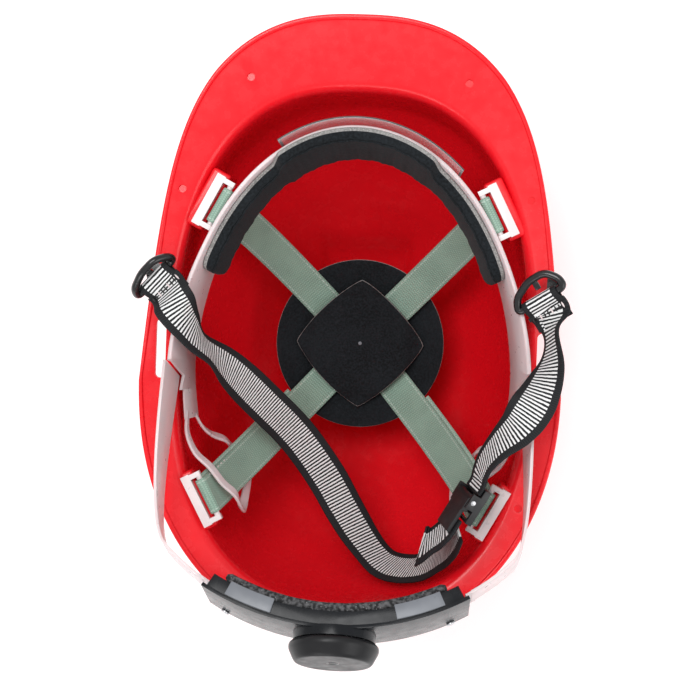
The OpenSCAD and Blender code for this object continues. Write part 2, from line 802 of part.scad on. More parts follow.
// The first rows leave the sewn loop squarely
function hook_vec(side, v) = let (
    turn = side > 0 ? hook_left_turn : hook_right_turn,
    x = v.x * cos(turn.y))
    [x * cos(turn.z) - v.y * sin(turn.z), x * sin(turn.z) + v.y * cos(turn.z), -v.x * sin(turn.y)];
function hook_row(side, far) = concat(
    (side > 0 ? hook_left : hook_right) + hook_vec(side, [0, far, 0]), hook_vec(side, [1, 0, 0]));
function turned_rows(all) = [for (p = smooth_rows(all, web_steps))
    [[p[0], p[1], p[2]], unit([p[3], p[4], p[5]])]];
function buckle_row(v, side) = concat(buckle_pt(v), buckle_vec([0, -side, 0]));
function chin_rows(side, route) = let (
    last = side > 0 ? [[-11.2, 0, -0.9]] : [[12.6, 0, 2.1], [8.5, 0, 2.1]])
    turned_rows(concat(
        [hook_row(side, loop_out + 1.3), hook_row(side, loop_out + 5.5)],
        route,
        [for (v = last) buckle_row(v, side)]));

module chin_strap_long() {
    color([0.12, 0.12, 0.13]) webbing(chin_rows(1, long_route), chin_w, chin_t);
}

module chin_strap_short() {
    color([0.12, 0.12, 0.13]) webbing(chin_rows(-1, short_route), chin_w, chin_t);
}

module chin_strap_tail() {
    color([0.12, 0.12, 0.13])
        webbing(turned_rows(concat([buckle_row([-7.4, 0, 2.9], 1), buckle_row([-15, 0, 2.9], 1)], tail_route)),
            chin_w, chin_t);
}

// ---- Cam buckle ----

// X runs along the buckle towards the short strap, Y across it and Z out of its face
module buckle_at() {
    translate(buckle_pos) rotate([0, 0, buckle_turn]) rotate([buckle_roll, 0, 0]) children();
}

module buckle_frame() {
    color([0.11, 0.11, 0.12])
        buckle_at()
            difference() {
                union() {
                    translate([-6.6, -buckle_w / 2, -2]) cube([19.1, buckle_w, 3.2]);
                    for (end = [-1, 1])
                        translate([0, end * (buckle_w / 2 - 0.9) - 0.9, -2]) cube([8, 1.8, 7.6]);
                }
                translate([8.2, -10.6, -3]) cube([2.8, 21.2, 6]);
                translate([-5.4, -10.6, -3]) cube([3.6, 21.2, 6]);
                translate([0.2, -10.6, -3]) cube([6.6, 21.2, 6]);
                translate([4, -buckle_w, 3.4]) rotate([-90, 0, 0])
                    cylinder(h = 2 * buckle_w, r = pin_r, $fn = 24);
            }
}

module buckle_pin() {
    color([0.5, 0.5, 0.52])
        buckle_at()
            translate([4, -buckle_w / 2 - 0.3, 3.4]) rotate([-90, 0, 0])
                cylinder(h = buckle_w + 0.6, r = pin_r, $fn = 24);
}

module cam_lever() {
    color([0.12, 0.12, 0.13])
        buckle_at()
            difference() {
                union() {
                    translate([4, -10.4, 3.4]) rotate([-90, 0, 0]) cylinder(h = 20.8, r = 2.7, $fn = 32);
                    translate([-15, -9, 4]) cube([19, 18, 2.1]);
                    translate([-2, -10.4, 3]) cube([6, 20.8, 3.1]);
                }
                translate([4, -12, 3.4]) rotate([-90, 0, 0]) cylinder(h = 24, r = pin_r + 0.06, $fn = 24);
            }
}

// ---- Drawing ----
shell();
cradle_clip(false, 1);  // cradle_clip_front_left
cradle_clip(false, -1);  // cradle_clip_front_right
cradle_clip(true, 1);  // cradle_clip_rear_left
cradle_clip(true, -1);  // cradle_clip_rear_right
cradle_strap_a();
cradle_strap_b();
crown_pad_foam();
crown_pad_cover();
headband();
arm_left();
arm_right();
brow_pad_foam();
brow_pad_cover();
info_label();
label_frame();
nape_housing();
nape_cover();
nape_foam_pad();
housing_screws();
keeper_left();
keeper_right();
detent_ring();
knob();
pinion_shaft();
ratchet_spring();
knob_screw();
chin_strap_long();
chin_strap_short();
chin_strap_tail();
chin_loop_left();
chin_loop_right();
chin_ring_left();
chin_ring_right();
chin_anchor_left();
chin_anchor_right();
buckle_frame();
buckle_pin();
cam_lever();
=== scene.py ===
"""Looks of an arborist's helmet that lies on its crown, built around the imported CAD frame.

Lengths in this file are in millimetres and become metres in make_mesh(); Z is up out of the helmet's
opening, -Y is towards the peak and +X towards the wearer's left.
"""

import json
import math

import bmesh
import bpy
import numpy as np
from mathutils import Matrix, Vector


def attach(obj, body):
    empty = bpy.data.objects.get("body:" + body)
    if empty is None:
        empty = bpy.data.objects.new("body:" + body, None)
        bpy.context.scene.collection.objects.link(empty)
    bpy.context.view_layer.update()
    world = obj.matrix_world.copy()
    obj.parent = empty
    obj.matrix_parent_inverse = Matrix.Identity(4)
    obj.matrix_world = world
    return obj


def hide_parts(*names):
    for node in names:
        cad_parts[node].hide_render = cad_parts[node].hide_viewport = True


MM = 0.001
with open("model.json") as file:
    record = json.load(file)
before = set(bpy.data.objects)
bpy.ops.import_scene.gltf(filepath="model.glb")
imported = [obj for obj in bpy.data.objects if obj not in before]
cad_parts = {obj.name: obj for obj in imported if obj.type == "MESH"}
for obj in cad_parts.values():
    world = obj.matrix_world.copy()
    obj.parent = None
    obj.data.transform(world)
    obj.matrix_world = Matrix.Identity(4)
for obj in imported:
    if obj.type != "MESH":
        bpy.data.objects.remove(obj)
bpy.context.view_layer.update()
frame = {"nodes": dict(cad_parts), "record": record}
NODES = frame["nodes"]
BODY_OF = {node: body for body, nodes in frame["record"]["behaviour"]["bodies"].items() for node in nodes}
SLOT_OF = {part["node"]: part["material_slot"] for part in frame["record"]["subparts"]}


# ---- Camera ----
CAMERA_POS = (-49, -36, 945)
CAMERA_AIM = (0, 0, 145)
CAMERA_ROLL = 2.2
CAMERA_LENS = 80.7


def add_camera():
    camera = bpy.data.objects.new("camera", bpy.data.cameras.new("camera"))
    bpy.context.scene.collection.objects.link(camera)
    forward = (Vector(CAMERA_AIM) - Vector(CAMERA_POS)).normalized()
    right = forward.cross(Vector((0, -1, 0))).normalized()
    up = right.cross(forward)
    roll = math.radians(CAMERA_ROLL)
    right, up = right * math.cos(roll) + up * math.sin(roll), up * math.cos(roll) - right * math.sin(roll)
    axes = Matrix((right, up, -forward)).transposed().to_4x4()
    camera.matrix_world = Matrix.Translation(Vector(CAMERA_POS) * MM) @ axes
    camera.data.lens = CAMERA_LENS
    camera.data.sensor_width = 36
    camera.data.clip_start = 0.01
    bpy.context.scene.camera = camera


# ---- Vectors and curves ----
def vec(*v):
    return np.array(v, float)


def unit(v):
    return v / np.linalg.norm(v)


def ramp(t):
    t = min(max(t, 0.0), 1.0)
    return t * t * (3 - 2 * t)


def mix(a, b, t):
    return a + (b - a) * t


def power(v, e):
    return math.copysign(abs(v) ** e, v)


def oval(b, rx, ry, n):
    b = math.radians(b)
    return vec(rx * power(math.cos(b), 2 / n), ry * power(math.sin(b), 2 / n))


def turn_x(v, deg):
    c, s = math.cos(math.radians(deg)), math.sin(math.radians(deg))
    return vec(v[0], v[1] * c - v[2] * s, v[1] * s + v[2] * c)


def turn_y(v, deg):
    c, s = math.cos(math.radians(deg)), math.sin(math.radians(deg))
    return vec(v[0] * c + v[2] * s, v[1], -v[0] * s + v[2] * c)


def turn_z(v, deg):
    c, s = math.cos(math.radians(deg)), math.sin(math.radians(deg))
    return vec(v[0] * c - v[1] * s, v[0] * s + v[1] * c, v[2])


def smooth_rows(rows, steps):
    """Points on one Catmull-Rom curve through the rows."""
    rows = [np.array(r, float) for r in rows]
    n = len(rows)
    out = []
    for i in range(n - 1):
        a, b, c, d = rows[max(i - 1, 0)], rows[i], rows[i + 1], rows[min(i + 2, n - 1)]
        for k in range(steps + (i == n - 2)):
            t = k / steps
            out.append(0.5 * (2 * b + (c - a) * t + (2 * a - 5 * b + 4 * c - d) * t * t
                              + (3 * b - a - 3 * c + d) * t ** 3))
    return out


def round_corners(points, radius, steps=6, closed=True):
    """The points of a polygon or path with each corner cut back by radius and curved."""
    pts = [np.array(p, float) for p in points]
    n = len(pts)
    out = []
    for i, p in enumerate(pts):
        if not closed and i in (0, n - 1):
            out.append(p)
            continue
        a, c = pts[i - 1], pts[(i + 1) % n]
        cut_a = min(radius, 0.45 * np.linalg.norm(a - p))
        cut_c = min(radius, 0.45 * np.linalg.norm(c - p))
        start, end = p + unit(a - p) * cut_a, p + unit(c - p) * cut_c
        for k in range(steps + 1):
            t = k / steps
            out.append(start * (1 - t) ** 2 + p * 2 * t * (1 - t) + end * t * t)
    return out


# ---- Meshes ----
def link(obj):
    bpy.context.scene.collection.objects.link(obj)
    return obj


def smooth_by_angle(obj, angle=35):
    mesh = obj.data
    bm = bmesh.new()
    bm.from_mesh(mesh)
    limit = math.radians(angle)
    for face in bm.faces:
        face.smooth = True
    for edge in bm.edges:
        edge.smooth = len(edge.link_faces) == 2 and edge.calc_face_angle(0) < limit
    bm.to_mesh(mesh)
    bm.free()
    return obj


def make_mesh(name, verts, faces, mats=(), face_mats=None, uvs=None, angle=35):
    """An object from points in millimetres. uvs gives one pair for each corner of each face."""
    mesh = bpy.data.meshes.new(name)
    mesh.from_pydata([tuple(np.array(v) * MM) for v in verts], [], [tuple(map(int, f)) for f in faces])
    for mat in mats:
        mesh.materials.append(mat)
    if face_mats is not None:
        mesh.polygons.foreach_set("material_index", face_mats)
    if uvs is not None:
        layer = mesh.uv_layers.new(name="UVMap")
        layer.data.foreach_set("uv", [c for face in uvs for pair in face for c in pair])
    obj = link(bpy.data.objects.new(name, mesh))
    if uvs is None:
        bm = bmesh.new()
        bm.from_mesh(mesh)
        bmesh.ops.recalc_face_normals(bm, faces=bm.faces)
        bm.to_mesh(mesh)
        bm.free()
    return smooth_by_angle(obj, angle)


def apply_modifiers(obj):
    bpy.context.view_layer.update()
    graph = bpy.context.evaluated_depsgraph_get()
    mesh = bpy.data.meshes.new_from_object(obj.evaluated_get(graph))
    obj.modifiers.clear()
    obj.data = mesh
    return obj


def bevelled(obj, width, segments=3, angle=35):
    mod = obj.modifiers.new("bevel", "BEVEL")
    mod.width = width * MM
    mod.segments = segments
    mod.limit_method = "ANGLE"
    mod.angle_limit = math.radians(angle)
    mod.use_clamp_overlap = True
    apply_modifiers(obj)
    return smooth_by_angle(obj, 40)


def join(name, objs):
    """Several objects as one, with their materials kept."""
    bpy.ops.object.select_all(action="DESELECT")
    for obj in objs:
        obj.select_set(True)
    bpy.context.view_layer.objects.active = objs[0]
    bpy.ops.object.join()
    objs[0].name = name
    objs[0].data.name = name
    return objs[0]


def box(name, low, high, matrix=None, bevel=0.0, mats=(), segments=3):
    corners = [(x, y, z) for x in (low[0], high[0]) for y in (low[1], high[1]) for z in (low[2], high[2])]
    faces = [(0, 1, 3, 2), (4, 6, 7, 5), (0, 4, 5, 1), (2, 3, 7, 6), (0, 2, 6, 4), (1, 5, 7, 3)]
    if matrix is not None:
        corners = [matrix(vec(*c)) for c in corners]
    obj = make_mesh(name, corners, faces, mats)
    return bevelled(obj, bevel, segments) if bevel else obj


def loft(name, rings, mats=(), closed=False, face_mat=None, angle=40):
    """A tube through rings of points; face_mat(i, j) picks a face's material."""
    cols = len(rings[0])
    verts = [p for ring in rings for p in ring]
    faces, picks = [], []
    for i in range(len(rings) - (0 if closed else 1)):
        for j in range(cols):
            a, c, k = i * cols, ((i + 1) % len(rings)) * cols, (j + 1) % cols
            faces.append((a + j, a + k, c + k, c + j))
            picks.append(face_mat(i, j) if face_mat else 0)
    if not closed:
        faces += [tuple(range(cols))[::-1], tuple((len(rings) - 1) * cols + j for j in range(cols))]
        picks += [picks[0], picks[-1]]
    return make_mesh(name, verts, faces, mats, picks, angle=angle)


def tube(name, points, radius, mats=(), closed=False, sides=20):
    pts = [np.array(p, float) for p in points]
    n = len(pts)
    rings, side = [], None
    for i, p in enumerate(pts):
        after = pts[(i + 1) % n] if closed else pts[min(i + 1, n - 1)]
        before = pts[i - 1] if closed or i else pts[0]
        way = unit(after - before)
        if side is None:
            side = unit(np.cross(way, vec(0.31, 0.17, 0.93)))
        side = unit(side - way * side.dot(way))
        up = np.cross(way, side)
        spin = [2 * math.pi * k / sides for k in range(sides)]
        rings.append([p + radius * (side * math.cos(a) + up * math.sin(a)) for a in spin])
    return loft(name, rings, mats, closed=closed, angle=60)


def lathe(name, profile, place, mats=(), steps=128):
    """A solid turned from (radius, height) points; place() takes its own frame to the helmet's."""
    rings = []
    for i in range(steps):
        a = 2 * math.pi * i / steps
        rings.append([place(vec(r * math.cos(a), r * math.sin(a), h)) for r, h in profile])
    obj = loft(name, rings, mats, closed=True, angle=32)
    bm = bmesh.new()
    bm.from_mesh(obj.data)
    bmesh.ops.remove_doubles(bm, verts=bm.verts, dist=1e-6)
    bmesh.ops.recalc_face_normals(bm, faces=bm.faces)
    bm.to_mesh(obj.data)
    bm.free()
    return smooth_by_angle(obj, 32)


def dressed(node, mat, bevel=0.3, segments=3):
    """A CAD node's mesh with softened edges, which stands for the node."""
    bm = bmesh.new()
    bm.from_mesh(NODES[node].data)
    bmesh.ops.remove_doubles(bm, verts=bm.verts, dist=1e-6)
    bmesh.ops.dissolve_limit(bm, angle_limit=math.radians(1.0), verts=bm.verts, edges=bm.edges)
    bmesh.ops.recalc_face_normals(bm, faces=bm.faces)
    mesh = bpy.data.meshes.new(node + "_look")
    bm.to_mesh(mesh)
    bm.free()
    mesh.materials.append(mat)
    obj = link(bpy.data.objects.new(node + "_look", mesh))
    if bevel:
        bevelled(obj, bevel, segments)
    else:
        smooth_by_angle(obj, 30)
    return finish_piece(obj, BODY_OF[node], SLOT_OF[node], node)


def finish_piece(obj, body, slot, *nodes):
    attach(obj, body)
    if nodes:
        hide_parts(*nodes)
    return obj


# ---- Materials ----
class Shader:
    """A Principled material whose detail is added node by node."""

    def __init__(self, name, color, rough, **sockets):
        self.mat = bpy.data.materials.new(name)
        self.mat.use_nodes = True
        self.tree = self.mat.node_tree
        self.out = self.tree.nodes["Principled BSDF"]
        self.put("Base Color", (*color, 1))
        self.put("Roughness", rough)
        for key, value in sockets.items():
            self.put(key.replace("_", " "), value)
        self.coords = self.tree.nodes.new("ShaderNodeTexCoord")
        self.last_normal = None

    def put(self, socket, value):
        self.out.inputs[socket].default_value = value

    def node(self, kind, **values):
        n = self.tree.nodes.new("ShaderNode" + kind)
        for key, value in values.items():
            if key in n.bl_rna.properties:
                setattr(n, key, value)
            else:
                n.inputs[key.replace("_", " ")].default_value = value
        return n

    def wire(self, a, b):
        self.tree.links.new(a, b)
        return b

    def noise(self, scale, detail=3.0, where="Object"):
        n = self.node("TexNoise", Scale=scale, Detail=detail)
        self.wire(self.coords.outputs[where], n.inputs["Vector"])
        return n.outputs["Fac"]

    def cells(self, scale, where="Object"):
        n = self.node("TexVoronoi", Scale=scale)
        self.wire(self.coords.outputs[where], n.inputs["Vector"])
        return n.outputs["Distance"]

    def math(self, operation, a, b=None, clamp=False):
        n = self.node("Math", operation=operation, use_clamp=clamp)
        for socket, value in zip(n.inputs, (a, b)):
            if value is None:
                continue
            if isinstance(value, (int, float)):
                socket.default_value = value
            else:
                self.wire(value, socket)
        return n.outputs[0]

    def uv(self):
        split = self.node("SeparateXYZ")
        self.wire(self.coords.outputs["UV"], split.inputs[0])
        return split.outputs[0], split.outputs[1]

    def span(self, value, low, high, out_low=0.0, out_high=1.0):
        n = self.node("MapRange", clamp=True)
        self.wire(value, n.inputs["Value"])
        for key, v in (("From Min", low), ("From Max", high), ("To Min", out_low), ("To Max", out_high)):
            n.inputs[key].default_value = v
        return n.outputs["Result"]

    def blend(self, fac, a, b):
        n = self.node("Mix", data_type="RGBA")
        self.wire(fac, n.inputs[0])
        for socket, value in ((n.inputs[6], a), (n.inputs[7], b)):
            if isinstance(value, tuple):
                socket.default_value = (*value, 1)
            else:
                self.wire(value, socket)
        return n.outputs[2]

    def color(self, value):
        self.wire(value, self.out.inputs["Base Color"])

    def rough(self, value):
        self.wire(value, self.out.inputs["Roughness"])

    def bump(self, height, strength, distance):
        n = self.node("Bump", Strength=strength, Distance=distance * MM)
        self.wire(height, n.inputs["Height"])
        if self.last_normal is not None:
            self.wire(self.last_normal, n.inputs["Normal"])
        self.last_normal = n.outputs["Normal"]
        self.wire(self.last_normal, self.out.inputs["Normal"])


def shell_material():
    s = Shader("shell_plastic", (0.78, 0.006, 0.013), 0.24, Specular_IOR_Level=0.32, Coat_Weight=0.08,
               Coat_Roughness=0.05)
    tone = s.noise(9, 2)
    s.color(s.blend(s.span(tone, 0.3, 0.7), (0.75, 0.005, 0.012), (0.80, 0.008, 0.016)))
    scuffs = s.noise(160, 6)
    s.rough(s.span(scuffs, 0.35, 0.75, 0.20, 0.34))
    s.bump(s.noise(700, 2), 0.05, 0.05)
    s.bump(s.noise(30, 2), 0.10, 0.25)
    return s.mat


def milky_material(name, color, transmission, rough):
    s = Shader(name, color, rough, Transmission_Weight=transmission, IOR=1.46, Coat_Weight=0.15,
               Coat_Roughness=0.2, Subsurface_Weight=0.2, Subsurface_Scale=0.004)
    s.out.inputs["Subsurface Radius"].default_value = (1.0, 0.6, 0.55)
    cloud = s.noise(70, 4)
    s.color(s.blend(s.span(cloud, 0.3, 0.7), tuple(c * 0.95 for c in color), color))
    s.rough(s.span(s.noise(250, 4), 0.3, 0.7, rough - 0.05, rough + 0.08))
    s.bump(s.noise(500, 2), 0.08, 0.04)
    return s.mat


def woven(s, pitch_u, pitch_v, strength=0.6, depth=0.25):
    """A weave of two crossing yarns in the UV frame, which is in millimetres."""
    u, v = s.uv()
    row = s.math("FLOOR", s.math("DIVIDE", v, pitch_v))
    shifted = s.math("ADD", s.math("DIVIDE", u, pitch_u), s.math("MULTIPLY", row, 0.5))
    across = s.math("ABSOLUTE", s.math("SINE", s.math("MULTIPLY", shifted, math.pi)))
    along = s.math("ABSOLUTE", s.math("SINE", s.math("MULTIPLY", s.math("DIVIDE", v, pitch_v), math.pi)))
    height = s.math("MULTIPLY", s.math("POWER", across, 0.6), s.math("POWER", along, 0.5))
    s.bump(height, strength, depth)
    return u, v, height


def cradle_material(name="cradle_webbing", light=(0.27, 0.40, 0.32), dark=(0.15, 0.235, 0.185)):
    s = Shader(name, light, 0.75, Sheen_Weight=0.08, Sheen_Roughness=0.5)
    u, v, height = woven(s, 1.15, 1.5, 0.8, 0.3)
    yarn = s.blend(s.span(height, 0.15, 0.8), dark, light)
    edge = s.math("ABSOLUTE", u)
    seam = s.math("MULTIPLY", s.math("GREATER_THAN", edge, 7.6), s.math("LESS_THAN", edge, 8.3))
    dash = s.math("GREATER_THAN", s.math("FRACT", s.math("DIVIDE", v, 3.0)), 0.22)
    seam = s.math("MULTIPLY", s.math("MULTIPLY", seam, dash), 0.55)
    tone = s.blend(s.span(s.noise(60, 4), 0.35, 0.7, 0, 0.35), yarn, tuple(c * 1.25 for c in light))
    s.color(s.blend(seam, tone, (0.52, 0.62, 0.55)))
    s.bump(s.noise(1400, 3), 0.35, 0.08)
    return s.mat


def chin_material(name, white, bars=True):
    """Black webbing with pale bars woven across its middle."""
    s = Shader(name, (0.008, 0.008, 0.009), 0.7, Specular_IOR_Level=0.25)
    u, v = s.uv()
    pitch = 1.8
    wobble = s.math("MULTIPLY", s.math("SUBTRACT", s.noise(500, 2), 0.5), 0.5)
    phase = s.math("FRACT", s.math("DIVIDE", s.math("ADD", v, wobble), pitch))
    rib = s.math("ABSOLUTE", s.math("SINE", s.math("MULTIPLY", s.math("DIVIDE", v, pitch / 2), math.pi)))
    warp = s.math("ABSOLUTE", s.math("SINE", s.math("MULTIPLY", u, math.pi / 0.55)))
    height = s.math("ADD", s.math("POWER", rib, 0.6), s.math("MULTIPLY", warp, 0.35))
    selvedge = s.math("GREATER_THAN", s.math("ABSOLUTE", s.math("ADD", u, wobble)), 7.1)
    bar = s.math("LESS_THAN", phase, 0.5)
    mask = s.math("MULTIPLY", bar, s.math("SUBTRACT", 1.0, selvedge))
    black = s.blend(s.span(height, 0.2, 1.2), (0.002, 0.002, 0.003), (0.016, 0.017, 0.019))
    pale = s.blend(s.span(warp, 0.0, 1.0), tuple(c * 0.72 for c in white), white)
    s.color(s.blend(s.math("MULTIPLY", mask, 1.0 if bars else 0.16), black, pale))
    s.bump(height, 0.7, 0.22)
    s.bump(s.noise(1500, 2), 0.3, 0.06)
    return s.mat


def cloth_material(name="black_cloth", color=(0.006, 0.0075, 0.009)):
    s = Shader(name, color, 0.9, Sheen_Weight=0.06, Sheen_Roughness=0.45, Specular_IOR_Level=0.2)
    fibre = s.noise(900, 6)
    patch = s.noise(45, 3)
    tone = s.blend(s.span(fibre, 0.35, 0.75), tuple(c * 0.5 for c in color), tuple(c * 2.4 for c in color))
    s.color(s.blend(s.span(patch, 0.35, 0.75, 0, 0.4), tone, tuple(c * 2.8 for c in color)))
    s.bump(fibre, 0.6, 0.25)
    s.bump(s.noise(160, 3), 0.25, 0.4)
    return s.mat


def foam_material(name="grey_foam", color=(0.33, 0.32, 0.31)):
    s = Shader(name, color, 0.92)
    pores = s.cells(1100)
    tone = s.blend(s.span(pores, 0.15, 0.6), color, tuple(c * 0.45 for c in color))
    s.color(s.blend(s.span(s.noise(90, 4), 0.3, 0.7, 0, 0.4), tone, tuple(c * 1.25 for c in color)))
    s.bump(pores, -0.7, 0.35)
    return s.mat


def speckled_material():
    s = Shader("nape_foam", (0.03, 0.03, 0.032), 0.85)
    grain = s.noise(620, 4)
    chips = s.cells(520)
    base = s.blend(s.span(grain, 0.42, 0.62), (0.008, 0.008, 0.009), (0.10, 0.10, 0.105))
    s.color(s.blend(s.span(chips, 0.10, 0.22, 0.8, 0.0), base, (0.24, 0.24, 0.245)))
    s.bump(grain, 0.5, 0.3)
    return s.mat


def plastic_material(name, color, rough, grain=0.15, coat=0.0, gloss=0.5):
    s = Shader(name, color, rough, Coat_Weight=coat, Coat_Roughness=0.08, Specular_IOR_Level=gloss)
    s.color(s.blend(s.span(s.noise(40, 3), 0.3, 0.7), tuple(c * 0.85 for c in color),
                    tuple(c * 1.2 for c in color)))
    s.rough(s.span(s.noise(180, 5), 0.3, 0.75, rough * 0.85, min(rough * 1.35, 1)))
    s.bump(s.noise(1300, 3), grain, 0.08)
    return s.mat


def metal_material():
    s = Shader("steel", (0.55, 0.55, 0.57), 0.28, Metallic=1.0)
    s.rough(s.span(s.noise(400, 5), 0.3, 0.7, 0.2, 0.42))
    s.bump(s.noise(900, 3), 0.1, 0.05)
    return s.mat


def film_material():
    s = Shader("label_film", (0.93, 0.92, 0.93), 0.08, IOR=1.4, Alpha=0.24)
    s.rough(s.span(s.noise(60, 4), 0.3, 0.7, 0.05, 0.16))
    s.bump(s.noise(35, 2), 0.15, 0.4)
    return s.mat


def floor_material():
    s = Shader("floor", (0.9, 0.9, 0.9), 0.7, Emission_Strength=0.2)
    s.put("Emission Color", (1, 1, 1, 1))
    s.color(s.blend(s.span(s.noise(3, 2), 0.3, 0.7), (0.89, 0.89, 0.89), (0.91, 0.91, 0.91)))
    return s.mat


RED = shell_material()
CLIP = milky_material("clip_plastic", (0.86, 0.76, 0.76), 0.10, 0.30)
BAND = milky_material("band_plastic", (0.90, 0.76, 0.77), 0.35, 0.32)
GREEN = cradle_material()
GREEN_UNDER = cradle_material("cradle_webbing_under", (0.31, 0.45, 0.36), (0.17, 0.26, 0.21))
CLOTH = cloth_material()
FOAM = foam_material()
SPECKLED = speckled_material()
STRIPED = chin_material("chin_webbing", (0.88, 0.88, 0.88))
STRIPED_BACK = chin_material("chin_webbing_back", (0.72, 0.72, 0.72), bars=False)
GLOSS = plastic_material("black_gloss", (0.006, 0.007, 0.009), 0.24, 0.04, gloss=0.22)
KNOB_BLACK = plastic_material("knob_black", (0.010, 0.010, 0.011), 0.34, 0.08, gloss=0.25)
RING_BLACK = plastic_material("ring_plastic", (0.005, 0.005, 0.006), 0.24, 0.06, coat=0.1)
MATTE = plastic_material("buckle_plastic", (0.008, 0.008, 0.009), 0.4, 0.25)
TAB = plastic_material("keeper_plastic", (0.16, 0.17, 0.19), 0.3, 0.08, gloss=0.35)
WHITE = plastic_material("white_acetal", (0.75, 0.75, 0.73), 0.35, 0.1)
THREAD = plastic_material("thread", (0.72, 0.62, 0.62), 0.8, 0.5)
BORDER = plastic_material("black_print", (0.006, 0.006, 0.007), 0.35, 0.1)
STEEL = metal_material()
FILM = film_material()


# ---- Shell ----
RIM_Z = 145
SHELL_T = 2.6
FILLET_R = 6
CREST_H = 4.5
WALL_TOP = RIM_Z - FILLET_R
CROWN_OUT = CREST_H - 0.8
CROWN_IN = CROWN_OUT + SHELL_T
BRIM_CY = 20
REAR_REACH = 149
# Distance in from the brim's edge, and height over it, along the bead that runs round the brim
BEAD = [(4.6, -0.44), (3.3, -0.42), (3.0, -0.36), (2.8, -0.12), (2.6, 0.22), (2.4, 0.44), (2.1, 0.53),
        (1.3, 0.58), (0.8, 0.54), (0.4, 0.40), (0.12, 0.10), (0, -0.35), (0, -1.4), (0, -SHELL_T),
        (0.15, -SHELL_T - 0.4), (0.5, -SHELL_T - 0.56), (1.2, -SHELL_T - 0.6), (5, -SHELL_T - 0.5)]


def dome_at(b, grow):
    return oval(b, 90 + grow, 131 + grow, 2.5)


def brim_at(b):
    front = math.sin(math.radians(b)) < 0
    reach = 169 + BRIM_CY if front else REAR_REACH - BRIM_CY
    p = oval(b, 108, reach, 2.6 if front else 2.1)
    t = abs(p[1]) / reach
    waist = 1 - 0.035 * math.sin(math.pi * t / 0.84) if front and t < 0.84 else 1
    return vec(p[0] * waist, p[1] + BRIM_CY)


def crest_at(p):
    return CREST_H * ramp((24 - p[1] * 0.1 - abs(p[0])) / 7) * ramp((58 - abs(p[1] + 6)) / 12)


def place(p, z):
    return vec(p[0], p[1], z + 3 * (p[1] / REAR_REACH) ** 2 * z / RIM_Z)


def dome_pt(b, f, grow, low):
    p = dome_at(b, grow) * math.sin(f) ** (2 / 2.3)
    z = low + (WALL_TOP - low) * (1 - max(math.cos(f), 0) ** (2 / 2.3))
    q = place(p, z - crest_at(p))
    q[2] = max(q[2], 0.0)
    return q


def shell_line(b, dome_rows=44, fillet_rows=10):
    d, e, o = dome_at(b, 0), dome_at(b, SHELL_T), brim_at(b)
    w = np.linalg.norm(o - d)
    out = (o - d) / w
    lip = RIM_Z + 0.15 * max(0, w - FILLET_R)
    r = FILLET_R - SHELL_T
    quarter = [math.pi / 2 * k / fillet_rows for k in range(1, fillet_rows + 1)]
    rise = [math.pi / 2 * k / dome_rows for k in range(1, dome_rows + 1)]
    line = [dome_pt(b, f, 0, CROWN_IN) for f in rise]
    line += [place(d + out * FILLET_R * (1 - math.cos(f)), WALL_TOP + FILLET_R * math.sin(f))
             for f in quarter]
    line += [place(o - out * min(s, 0.45 * (w - FILLET_R)), lip + dz) for s, dz in BEAD]
    line += [place(e + out * r * (1 - math.cos(f)), WALL_TOP + r * math.sin(f)) for f in reversed(quarter)]
    return line + [dome_pt(b, f, SHELL_T, CROWN_OUT) for f in reversed(rise)]


CLIPS = {"front": (vec(75, -74, RIM_Z), -27.4, 6.4), "rear": (vec(76, 81, RIM_Z), 28.5, 3.4)}
SIDES = {"left": 1, "right": -1}


def at_clip(end, side):
    """Takes a point in a clip's own frame, with X out of the helmet, to the helmet's frame."""
    corner, turn, _ = CLIPS[end]

    def to_helmet(v):
        p = corner + turn_z(v, turn)
        return vec(side * p[0], p[1], p[2])
    return to_helmet


def slot_cutter(side):
    loop = [vec(2.5 * math.cos(a), 2.5 * math.sin(a) + (12.75 if math.sin(a) > 0 else -12.75), 0)
            for a in (2 * math.pi * (k + 0.5) / 32 for k in range(32))]
    centre = vec(side * 97.5, 3, RIM_Z)
    return loft("slot_cut", [[centre + p + vec(0, 0, z) for p in loop] for z in (-18, 18)])


def boolean(obj, cutter, operation):
    mod = obj.modifiers.new("cut", "BOOLEAN")
    mod.operation = operation
    mod.solver = "MANIFOLD"
    mod.object = cutter
    apply_modifiers(obj)
    bpy.data.objects.remove(cutter)


# Round ejector marks of the mould on the brim: angle round the brim and distance in from its edge
MOULD_MARKS = [(-28, 9), (22, 9), (152, 9), (208, 9), (-62, 16), (-118, 16)]


def mould_mark(b, inset):
    o = brim_at(b)
    d = dome_at(b, 0)
    w = np.linalg.norm(o - d)
    p = o - (o - d) / w * inset
    z = place(p, RIM_Z + 0.15 * max(0, w - FILLET_R - inset))[2]
    rings = [[vec(p[0] + 2.0 * math.cos(a), p[1] + 2.0 * math.sin(a), z + dz)
              for a in (2 * math.pi * k / 24 for k in range(24))] for dz in (-0.75, 3)]
    return loft("mark_cut", rings)


